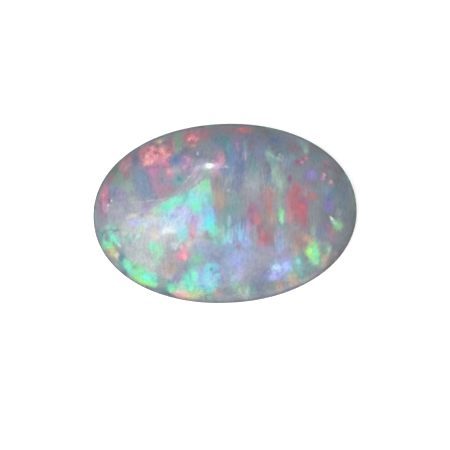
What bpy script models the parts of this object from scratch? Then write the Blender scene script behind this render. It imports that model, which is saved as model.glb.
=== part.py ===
"""An opal cabochon: one polished oval stone, with a domed crown, a rounded lower edge and a flat base.

Metres, +Z up. The origin is the middle of the flat base, and +X runs along the stone's length.
"""

import math

import bmesh
import bpy

MM = 0.001

LENGTH = 15.0 * MM
WIDTH = 10.2 * MM
HEIGHT = 4.6 * MM
GIRDLE_HEIGHT = 1.0 * MM  # the widest line round the stone, above its base
EDGE_INSET = 0.75 * MM  # from the girdle in to the rim of the flat base, all the way round
OVAL_POWER = 2.08  # 2 makes a plain ellipse, and a little more fills out the oval's shoulders
DOME_POWER = 2.15  # the same for the dome, seen from the side

SEGMENTS = 84  # round the stone
CROWN_RINGS = 24  # from the girdle up to the top
RINGS_GATHER = 1.4  # over 1, the crown's rings lie closer together towards the top
EDGE_RINGS = 6  # from the flat base up to the girdle

SHARP_ANGLE = math.radians(40)  # the shading would break where faces meet at more than this

BODY_COLOUR = (0.30, 0.32, 0.37, 1.0)  # milky grey with a cool cast
POLISH_ROUGHNESS = 0.06
OPAL_IOR = 1.45


def clear_scene():
    """Removes what the startup scene holds."""
    for old in list(bpy.data.objects):
        bpy.data.objects.remove(old)


def oval_ring(half_length, half_width, z):
    """The points of one level oval, a superellipse with these half axes."""
    points = []
    for step in range(SEGMENTS):
        angle = math.tau * step / SEGMENTS
        along, across = math.cos(angle), math.sin(angle)
        reach = (abs(along) ** OVAL_POWER + abs(across) ** OVAL_POWER) ** (-1 / OVAL_POWER)
        points.append((half_length * reach * along, half_width * reach * across, z))
    return points


def edge_rings():
    """The rounded lower edge: a quarter ellipse that leaves the flat base level and meets the girdle upright."""
    rings = []
    for step in range(EDGE_RINGS):
        turn = math.pi / 2 * step / EDGE_RINGS
        inset = EDGE_INSET * (1 - math.sin(turn))
        z = GIRDLE_HEIGHT * (1 - math.cos(turn))
        rings.append(oval_ring(LENGTH / 2 - inset, WIDTH / 2 - inset, z))
    return rings


def crown_rings():
    """The dome's rings from the girdle up, without its top point. Its side view is a quarter superellipse."""
    rings = []
    for step in range(CROWN_RINGS):
        left = (1 - step / CROWN_RINGS) ** RINGS_GATHER
        turn = math.pi / 2 * (1 - left)
        share = math.cos(turn) ** (2 / DOME_POWER)
        rise = math.sin(turn) ** (2 / DOME_POWER)
        z = GIRDLE_HEIGHT + (HEIGHT - GIRDLE_HEIGHT) * rise
        rings.append(oval_ring(LENGTH / 2 * share, WIDTH / 2 * share, z))
    return rings


def stone_mesh():
    """The closed surface: a flat face under the lowest ring, bands of quads, and a fan to the top point."""
    solid = bmesh.new()
    rings = [[solid.verts.new(point) for point in ring] for ring in edge_rings() + crown_rings()]
    top = solid.verts.new((0.0, 0.0, HEIGHT))
    solid.faces.new(list(reversed(rings[0])))
    for lower, upper in zip(rings, rings[1:]):
        for i in range(SEGMENTS):
            j = (i + 1) % SEGMENTS
            solid.faces.new((lower[i], lower[j], upper[j], upper[i]))
    for i in range(SEGMENTS):
        solid.faces.new((rings[-1][i], rings[-1][(i + 1) % SEGMENTS], top))
    bmesh.ops.recalc_face_normals(solid, faces=solid.faces)
    mesh = bpy.data.meshes.new("opal")
    solid.to_mesh(mesh)
    solid.free()
    mesh.shade_smooth()
    mesh.set_sharp_from_angle(angle=SHARP_ANGLE)
    return mesh


def opal_material():
    """A plain stand-in for the stone's finish: milky grey, with a high polish."""
    material = bpy.data.materials.new("opal")
    material.use_nodes = True
    shader = material.node_tree.nodes["Principled BSDF"]
    shader.inputs["Base Color"].default_value = BODY_COLOUR
    shader.inputs["Roughness"].default_value = POLISH_ROUGHNESS
    shader.inputs["Metallic"].default_value = 0.0
    shader.inputs["IOR"].default_value = OPAL_IOR
    return material


def main():
    clear_scene()
    stone = bpy.data.objects.new("opal", stone_mesh())
    stone.data.materials.append(opal_material())
    bpy.context.scene.collection.objects.link(stone)


main()
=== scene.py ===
import math
from collections import namedtuple

import bpy
from mathutils import Matrix, Vector


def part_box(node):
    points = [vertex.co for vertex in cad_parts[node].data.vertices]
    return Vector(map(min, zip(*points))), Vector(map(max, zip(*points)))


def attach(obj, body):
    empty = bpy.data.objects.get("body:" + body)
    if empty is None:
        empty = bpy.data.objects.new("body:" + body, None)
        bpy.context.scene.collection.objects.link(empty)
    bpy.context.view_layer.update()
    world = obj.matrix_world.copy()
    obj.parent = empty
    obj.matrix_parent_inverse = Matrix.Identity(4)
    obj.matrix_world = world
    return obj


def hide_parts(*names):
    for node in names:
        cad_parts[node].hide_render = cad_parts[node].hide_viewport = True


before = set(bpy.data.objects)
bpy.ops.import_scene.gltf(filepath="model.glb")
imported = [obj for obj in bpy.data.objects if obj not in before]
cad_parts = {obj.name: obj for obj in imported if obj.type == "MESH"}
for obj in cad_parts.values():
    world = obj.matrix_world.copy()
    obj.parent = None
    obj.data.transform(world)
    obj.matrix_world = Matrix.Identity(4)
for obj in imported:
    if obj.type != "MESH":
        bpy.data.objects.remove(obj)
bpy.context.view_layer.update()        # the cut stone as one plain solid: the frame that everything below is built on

# The looks of a polished opal cabochon lying on its flat base: a fine mesh of the cut stone, its milky
# body with play-of-colour, the photo studio round it and a camera that looks straight down. Metres, +Z up.

MM = 0.001
WHITE = (1.0, 1.0, 1.0, 1.0)

# The cut. Length, width and height come from the frame, the rest is the cutter's.
LOW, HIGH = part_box("opal")
LENGTH = HIGH.x - LOW.x
WIDTH = HIGH.y - LOW.y
HEIGHT = HIGH.z - LOW.z
GIRDLE_HEIGHT = 1.0 * MM  # the widest line round the stone, above its base
EDGE_INSET = 0.75 * MM  # from the girdle in to the rim of the flat base
OVAL_POWER = 2.08  # 2 makes a plain ellipse, and a little more fills out the shoulders
DOME_POWER = 2.15  # the same for the dome seen from the side
SEGMENTS = 288
RINGS = 160
HAND_WAVER = 0.005 * MM  # how far the hand polishing leaves the dome below the true curve
HOLLOWS = 260.0  # how many of its shallow hollows there would be in a metre

# The picture. The stone lies a little askew in it, and above its middle.
VIEW_TURN = math.radians(2.5)  # from the stone's length to the picture's level line
PICTURE_WIDTH = 25.63 * MM  # what the frame spans at the girdle's height
PICTURE_DROP = 0.657 * MM  # the picture's middle lies this far below the stone's
LENS = 200.0  # mm, on a 36 mm wide sensor
SENSOR = 36.0
VIEW_DISTANCE = PICTURE_WIDTH * LENS / SENSOR  # from the camera down to the girdle's height
NEAR, FAR = 0.005, 10.0  # m, between which the camera sees
SQUARE_ON = Matrix.Rotation(-VIEW_TURN, 4, "Z")  # from the picture's axes to the stone's

# The studio. A lamp or the lit side of the tent is placed by where the polish mirrors it: points of the
# picture, in mm to the right and up from the stone's middle. A lamp's distance and size are in m, and its
# power in W.
Lamp = namedtuple("Lamp", "name shows_at distance width height power")
LAMPS = (
    Lamp("glint lamp", (-0.91, 2.7), 0.45, 0.021, 0.055, 0.075),
    Lamp("glint halo", (-1.06, 2.71), 0.47, 0.065, 0.1, 0.042),
)
TENT_RADIUS = 0.5  # m, the white tent whose lit side the polish shows as a veil on the lower left
LIT_SIDE_RADIANCE = 3.0
LIT_SIDE_MIDDLE = (-2.65, -0.72)
LIT_SIDE_RIM = (
    (-6.67, 0.55), (-6.22, 0.65), (-5.51, 0.67), (-5.3, 0.74), (-4.8, 0.72), (-4.2, 0.78), (-3.6, 0.92),
    (-3.0, 1.17), (-2.55, 1.5), (-2.2, 1.95), (-1.75, 2.4), (-1.3, 2.7), (-0.9, 2.85), (-0.68, 2.5),
    (-0.62, 2.0), (-0.6, 1.0), (-0.55, 0.0), (-0.45, -1.0), (-0.3, -2.0), (-0.15, -3.0), (0.0, -4.0),
    (0.02, -4.16), (-5.45, -2.68),
)
LIT_SIDE_GLOW = ((0.0, 1.0), (0.55, 0.95), (0.93, 0.7), (1.0, 0.0))  # how brightly, from middle to rim
TABLE_HALF = 0.9  # m
PAPER_COLOUR = (0.86, 0.86, 0.86, 1.0)
PAPER_ROUGHNESS = 0.9
PAPER_GLOW = 0.32  # light of its own that lifts the paper to a clean white
AIR_ON_MATT = 0.9  # how bright the room is to matt surfaces, to the polish and to the camera
AIR_IN_POLISH = 0.1
AIR_TO_CAMERA = 1.0


class Board:
    """A node tree under construction: put() adds a node and wires or sets its inputs in one call."""

    def __init__(self, tree):
        self.tree = tree

    def put(self, kind, inputs=None, **settings):
        node = self.tree.nodes.new(kind)
        for name, value in settings.items():
            setattr(node, name, value)
        for key, value in (inputs or {}).items():
            self.feed(node.inputs[key], value)
        return node

    def feed(self, socket, value):
        if isinstance(value, bpy.types.NodeSocket):
            self.tree.links.new(value, socket)
        else:
            socket.default_value = value

    def sum(self, operation, *values, clamp=False):
        """One step of arithmetic on numbers."""
        node = self.put("ShaderNodeMath", dict(enumerate(values)), operation=operation, use_clamp=clamp)
        return node.outputs[0]

    def vector(self, operation, *values, out="Vector"):
        """One step of arithmetic on vectors."""
        node = self.put("ShaderNodeVectorMath", dict(enumerate(values)), operation=operation)
        return node.outputs[out]

    def ramp(self, value, start, end, low=0.0, high=1.0, smooth=True):
        """low at start, high at end, and a smooth or a straight way between."""
        inputs = {"Value": value, "From Min": start, "From Max": end, "To Min": low, "To Max": high}
        kind = "SMOOTHSTEP" if smooth else "LINEAR"
        return self.put("ShaderNodeMapRange", inputs, interpolation_type=kind).outputs["Result"]

    def mix(self, share, under, over):
        """The number over in place of the number under, by its share."""
        return self.put("ShaderNodeMix", {0: share, 2: under, 3: over}).outputs[0]

    def lay(self, share, under, over, **settings):
        """The colour over laid on the colour under, by its share."""
        node = self.put("ShaderNodeMix", {0: share, 6: under, 7: over}, data_type="RGBA", **settings)
        return node.outputs[2]


# The stone's shape

def stone_tree(material):
    """Geometry nodes that turn a ball into the cut stone: crown above, rounded edge and flat base below."""
    tree = bpy.data.node_groups.new("cabochon cut", "GeometryNodeTree")
    face = tree.interface
    for name, kind in (("Length", "Float"), ("Width", "Float"), ("Height", "Float"),
                       ("Girdle height", "Float"), ("Edge inset", "Float"), ("Oval power", "Float"),
                       ("Dome power", "Float"), ("Waver", "Float"), ("Hollows", "Float"),
                       ("Segments", "Int"), ("Rings", "Int")):
        face.new_socket(name, in_out="INPUT", socket_type="NodeSocket" + kind)
    face.new_socket("Geometry", in_out="OUTPUT", socket_type="NodeSocketGeometry")
    board = Board(tree)
    given = board.put("NodeGroupInput").outputs
    number = board.sum

    sizes = {"Segments": given["Segments"], "Rings": given["Rings"], "Radius": 1.0}
    ball = board.put("GeometryNodeMeshUVSphere", sizes)
    on_ball = board.put("GeometryNodeInputPosition").outputs[0]
    place = board.put("ShaderNodeSeparateXYZ", {0: on_ball}).outputs
    level = board.put("ShaderNodeCombineXYZ", {0: place[0], 1: place[1], 2: 0.0}).outputs[0]
    out_by = board.vector("LENGTH", level, out="Value")
    way = board.put("ShaderNodeSeparateXYZ", {0: board.vector("NORMALIZE", level)}).outputs
    across = number("POWER", number("ABSOLUTE", way[0]), given["Oval power"])
    along = number("POWER", number("ABSOLUTE", way[1]), given["Oval power"])
    never_zero = 0.01  # at the poles the level way has no length
    corner = number("MAXIMUM", number("ADD", across, along), never_zero)
    reach = number("POWER", corner, number("DIVIDE", -1.0, given["Oval power"]))

    # The crown, where the ball's height is above 0. The ball's height and radius there each become a power
    # of themselves.
    bend = number("DIVIDE", 2.0, given["Dome power"])
    crown_share = number("POWER", out_by, bend)
    rise = number("POWER", number("MAXIMUM", place[2], 0.0), bend)
    dome = number("SUBTRACT", given["Height"], given["Girdle height"])
    crown_z = number("MULTIPLY_ADD", dome, rise, given["Girdle height"])

    # Below the girdle: a quarter ellipse down to the base, and from there the flat base in to its middle.
    fall = number("ARCSINE", number("MULTIPLY", place[2], -1.0, clamp=True))
    down = number("DIVIDE", fall, math.pi / 2)
    edge_end = 0.5  # how far down the ball the rounded edge ends and the flat base begins
    edge_left = number("SUBTRACT", 1.0, number("DIVIDE", down, edge_end), clamp=True)
    turn = number("MULTIPLY", edge_left, math.pi / 2)
    inset = number("MULTIPLY", given["Edge inset"], number("SUBTRACT", 1.0, number("SINE", turn)))
    edge_z = number("MULTIPLY", given["Girdle height"], number("SUBTRACT", 1.0, number("COSINE", turn)))
    base_share = board.ramp(down, edge_end, 1.0, 1.0, 0.0, smooth=False)

    above = number("GREATER_THAN", place[2], 0.0)
    share = board.mix(above, base_share, crown_share)
    inward = number("MULTIPLY", inset, number("SUBTRACT", 1.0, above))
    z = board.mix(above, edge_z, crown_z)

    def side(size, part):
        half = number("SUBTRACT", number("MULTIPLY", size, 0.5), inward)
        return number("MULTIPLY", number("MULTIPLY", half, share), number("MULTIPLY", reach, part))

    x = side(given["Length"], way[0])
    y = side(given["Width"], way[1])
    true_cut = board.put("ShaderNodeCombineXYZ", {0: x, 1: y, 2: z}).outputs[0]
    cut = board.put("GeometryNodeSetPosition", {"Geometry": ball.outputs["Mesh"], "Position": true_cut})

    # Hand polishing leaves broad, very shallow hollows in the crown.
    on_cut = board.put("GeometryNodeInputPosition").outputs[0]
    pattern = {"Vector": on_cut, "Scale": given["Hollows"], "Detail": 1.0}
    hollows = board.put("ShaderNodeTexNoise", pattern).outputs[0]
    waver = number("MULTIPLY", hollows, given["Waver"])
    depth = number("MULTIPLY", waver, number("MULTIPLY", above, -1.0))
    normal = board.put("GeometryNodeInputNormal").outputs[0]
    shift = board.put("ShaderNodeVectorMath", {0: normal, "Scale": depth}, operation="SCALE").outputs[0]
    polished = board.put("GeometryNodeSetPosition", {"Geometry": cut.outputs[0], "Offset": shift})

    smooth = board.put("GeometryNodeSetShadeSmooth", {"Geometry": polished.outputs[0]})
    whole = board.put("GeometryNodeRealizeInstances", {"Geometry": smooth.outputs[0]})
    finished = board.put("GeometryNodeSetMaterial", {"Geometry": whole.outputs[0], "Material": material})
    board.put("NodeGroupOutput", {"Geometry": finished.outputs[0]})
    return tree


def cut_stone(material):
    """The stone as a plain mesh, made by the tree above from the frame's sizes."""
    tree = stone_tree(material)
    blank = bpy.data.objects.new("blank", bpy.data.meshes.new("blank"))
    bpy.context.scene.collection.objects.link(blank)
    cutter = blank.modifiers.new("cut", "NODES")
    cutter.node_group = tree
    sizes = {"Length": LENGTH, "Width": WIDTH, "Height": HEIGHT, "Girdle height": GIRDLE_HEIGHT,
             "Edge inset": EDGE_INSET, "Oval power": OVAL_POWER, "Dome power": DOME_POWER,
             "Waver": HAND_WAVER, "Hollows": HOLLOWS, "Segments": SEGMENTS, "Rings": RINGS}
    for item in tree.interface.items_tree:
        if item.name in sizes:
            cutter[item.identifier] = sizes[item.name]
    ready = blank.evaluated_get(bpy.context.evaluated_depsgraph_get())
    mesh = bpy.data.meshes.new_from_object(ready)
    mesh.name = "opal_stone"
    stone = bpy.data.objects.new("opal_stone", mesh)
    bpy.context.scene.collection.objects.link(stone)
    bpy.data.objects.remove(blank)
    return stone


# The opal

# The play-of-colour as it looks in the studio: red, green and blue from 0 to 255.
PALETTE = {
    "crimson": (165, 90, 108), "red": (188, 105, 116), "coral": (218, 125, 135), "salmon": (243, 172, 170),
    "peach": (250, 200, 180), "pink": (232, 150, 165), "hot pink": (218, 135, 176),
    "blush": (226, 178, 200), "candy": (255, 182, 196), "rose": (192, 140, 152),
    "dusk rose": (160, 118, 134), "clay": (170, 132, 128), "plum": (138, 92, 116),
    "mulberry": (160, 112, 142), "magenta": (196, 140, 184), "heather": (140, 122, 150),
    "foxglove": (182, 144, 168), "mauve": (158, 134, 156), "dusk": (130, 116, 126), "umber": (104, 92, 98),
    "brown": (148, 136, 136), "tan": (180, 158, 144), "gold": (200, 188, 142), "orange": (236, 180, 152),
    "sand": (190, 180, 176), "cream": (224, 218, 210), "lilac": (162, 157, 186), "orchid": (190, 168, 216),
    "violet": (146, 138, 188), "iris": (134, 122, 186), "hyacinth": (172, 182, 248),
    "lavender": (202, 196, 244), "navy": (88, 112, 145), "denim": (100, 122, 164),
    "shale": (112, 120, 138), "slate": (124, 134, 160), "steel": (130, 154, 180), "blue": (108, 138, 186),
    "periwinkle": (162, 176, 226), "haze": (158, 174, 202), "lake": (145, 178, 212),
    "sky": (155, 202, 240), "ice": (192, 220, 248), "pine": (104, 131, 142), "deep teal": (86, 136, 146),
    "teal": (120, 162, 162), "lagoon": (124, 176, 190), "sea": (138, 194, 188), "aqua": (152, 228, 230),
    "cyan": (122, 240, 252), "jade": (118, 230, 205), "mint": (142, 240, 212), "emerald": (124, 252, 196),
    "spring": (138, 230, 174), "apple": (166, 230, 192), "green": (146, 214, 154), "leaf": (130, 158, 142),
    "moss": (108, 128, 116), "sage": (158, 182, 170), "pale green": (188, 222, 196),
    "lime": (176, 248, 140), "lemon": (204, 230, 164), "olive": (146, 154, 130), "white": (232, 244, 246),
    "pearl": (200, 200, 212), "cloud": (200, 205, 206), "fog": (184, 192, 194), "mist": (160, 164, 176),
    "grey": (140, 145, 150), "ash": (126, 134, 142), "smoke": (114, 117, 123), "ink": (88, 92, 104),
}
LEAST_PIGMENT = 0.004  # none of the stone's own colours is darker
PLAIN_PLACE = (5.0, 0.0)  # mm, where the colours of the body and the sides, the same all over, are worked out

# What the studio does to a colour: how much its light brightens the matt body, at the stone's middle and
# for each mm to the right and up from there, how much it loses towards the long edges, and the light that
# the polish adds where it mirrors the lit side of the tent, at that veil's edge and from some way inside
# it, in mm. The veil ends at a line whose height varies along the picture, at one that leans across its
# middle, and where the dome turns down more steeply than 45 degrees.
STUDIO_GAIN = (1.43, -0.038, -0.03)
EDGE_LOSS = 0.003
VEIL_LIGHT = (0.074, 0.098)
VEIL_DEEP = 0.8
VEIL_TOP = ((-8.0, 0.55), (-6.4, 0.64), (-4.0, 0.75), (-3.0, 1.1), (-2.4, 1.52), (-1.6, 2.5), (9.0, 4.0))
VEIL_SIDE = (-0.6, -0.11)  # mm, where it ends at the middle's height, and how far over each mm up
VEIL_FOOT = 1.8  # mm, how far inside its foot a level part of the dome counts
VEIL_BLUR = 0.3

# The rim's painted shade. Towards the girdle the colour is darkened to smoke, a painted shade for the dark edge that
# the steep polished sides show, between these heights in mm.
RIM_SHADE_START = 2.3
RIM_SHADE_END = 1.4
RIM_SHADE_SHARE = 0.6

# The polish, and the finely ground base with the height in mm up to which its grinding shows.
REFRACTION = 1.45
POLISH_ROUGHNESS = (0.06, 0.11)
GROUND_ROUGHNESS = 0.45
GROUND_HEIGHT = 0.05
POLISH_RELIEF = 0.0006 * MM
GROUND_RELIEF = 0.006 * MM

# A natural pattern: how many of its features there are in a mm across, up and through the stone, how many
# finer ones are laid over them, and how strongly.
Pattern = namedtuple("Pattern", "in_a_mm finer strength", defaults=(0.5,))
MOST_VALUES = (0.35, 0.65)  # between which nearly all of a pattern lies
MILK = Pattern((0.9, 0.9, 0.9), 3.0)  # the paler and darker parts of the body
WIPING = Pattern((0.7, 0.7, 0.7), 4.0, 0.6)  # how clean the polish was wiped
POLISH_WAVER = Pattern((1.4, 1.4, 1.4), 2.0)  # the polish's shallow relief
GRINDING = Pattern((3.0, 30.0, 3.0), 3.0)  # the base's scratches

# Broad swirls and a small ripple push the flashes out of true, across, up and through the stone, in mm.
SWIRL = Pattern((2.2, 2.2, 2.2), 4.0, 0.65)
SWIRL_PUSH = (0.2, 0.32, 0.2)
RIPPLE = Pattern((9.0, 9.0, 9.0), 2.0)
RIPPLE_PUSH = (0.14, 0.2, 0.14)

# The fine grain: fibres and specks, and how much each brightens and darkens the stone.
FIBRES = Pattern((8.0, 2.0, 4.0), 3.0, 0.7)
FIBRE_CONTRAST = 0.5
SPECKS = Pattern((4.0, 4.0, 4.0), 4.0, 0.85)
SPECK_CONTRAST = 0.46
GRAIN_LINE = ((0.5, -1.0), -35.0)  # the specks are stronger to the lower left of this line
GRAIN_GROWTH = (-1.5, 2.5, 1.0, 1.7)  # from how far above it to how far below in mm, and how much stronger

# Round the sides and over the base, below the flashes that show from above, domains of these colours lie
# side by side. They come in from one height to another, in mm, and the milky body is left between them.
SIDE_FIRE = (
    "slate", "teal", "mint", "steel", "periwinkle", "violet",
    "rose", "tan", "green", "aqua", "blue", "pink",
)
SIDE_START = 2.1
SIDE_END = 1.1
SIDE_SHARE = 0.85
SIDE_CELLS = (1.0, 1.0, 0.5)  # how many in a mm
SIDE_LIT = (0.2, 0.5)  # a cell stays body where its chance is below the first, and shines above the second
SIDE_SEAM = 0.2  # how wide the soft seam between two cells is
SIDE_STREAKS = Pattern((3.0, 3.0, 0.8), 3.0)
SIDE_STREAK_DEPTH = (0.3, 0.65, 0.4, 1.0)  # between which values of the pattern, and between which shares
UNEVEN = 2.2  # mm, how far those heights, and those of the rim's painted shade, go up and down round the stone

# How the brightness of the flashes varies: by a pattern, from a low to a high light, and how far it frays
# their edges. Two finer kinds, strokes and threads, are light lines, and only the strokes slant.
Play = namedtuple("Play", "pattern low high fray")
PLAYS = {
    "clouds": Play(Pattern((2.6, 2.0, 2.0), 4.0, 0.62), 0.85, 1.03, 1.5),
    "streaks": Play(Pattern((7.0, 1.5, 2.5), 3.0, 0.6), 0.75, 1.05, 1.8),
    "grains": Play(Pattern((6.0, 6.0, 6.0), 2.0), 0.65, 1.1, 1.5),
    "scales": Play(Pattern((3.5, 6.0, 3.0), 2.0), 0.85, 1.05, 1.0),
}
LINES = Pattern((11.0, 1.8, 3.0), 2.0)
LINE_EDGE = (0.48, 0.66)
STROKE_SLANT = math.radians(32)  # how far the pale strokes on the left lean from upright

# Sparks are small round cells, of which some are lit, and cracks the thin seams between larger ones,
# broken here and there. Cells are counted in a mm, and an edge goes from dark to lit.
SPARK_CELLS = (4.4, 4.4, 3.0)
SPARK_EDGE = (0.42, 0.1)
SPARK_LIT = (0.2, 0.7)
CRACK_CELLS = (3.8, 3.8, 2.6)
CRACK_EDGE = (0.16, 0.02)
CRACK_BREAKS = Pattern((5.0, 5.0, 5.0), 2.0)
CRACK_BREAK_EDGE = (0.42, 0.58)

# The wedge of mint green is a domain with straight edges: a point on each one, and its slope in degrees.
# It lies below the higher one of the first two, and to the left of the third. Its edge goes from dark to
# lit, in mm.
WEDGE_UPPER = ((-2.6, 1.07), 24.0)
WEDGE_TIP = ((-1.45, 1.74), 42.0)
WEDGE_RIGHT = ((-0.76, 1.2), 98.0)
WEDGE_EDGE = (-0.05, 0.06)

# How deep a flash reaches into the stone, by its larger half size and in mm, and the least blur of its
# edge in mm, because it lies a little below the surface.
DEPTH_TO_SIZE = 3.5
LEAST_DEPTH = 0.5
MOST_DEPTH = 1.8
SOFTNESS = 0.09

# A field of fire: the play of its flashes, the share that a flash takes over what lies below it, its edge
# from crisp (0) to a haze (1), and its flashes. A flash has a colour, its middle and half sizes in mm in
# the picture's axes, and, where they aren't 0 and the field's, its turn in degrees anticlockwise and its
# share.
Field = namedtuple("Field", "play share edge flashes")

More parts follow.
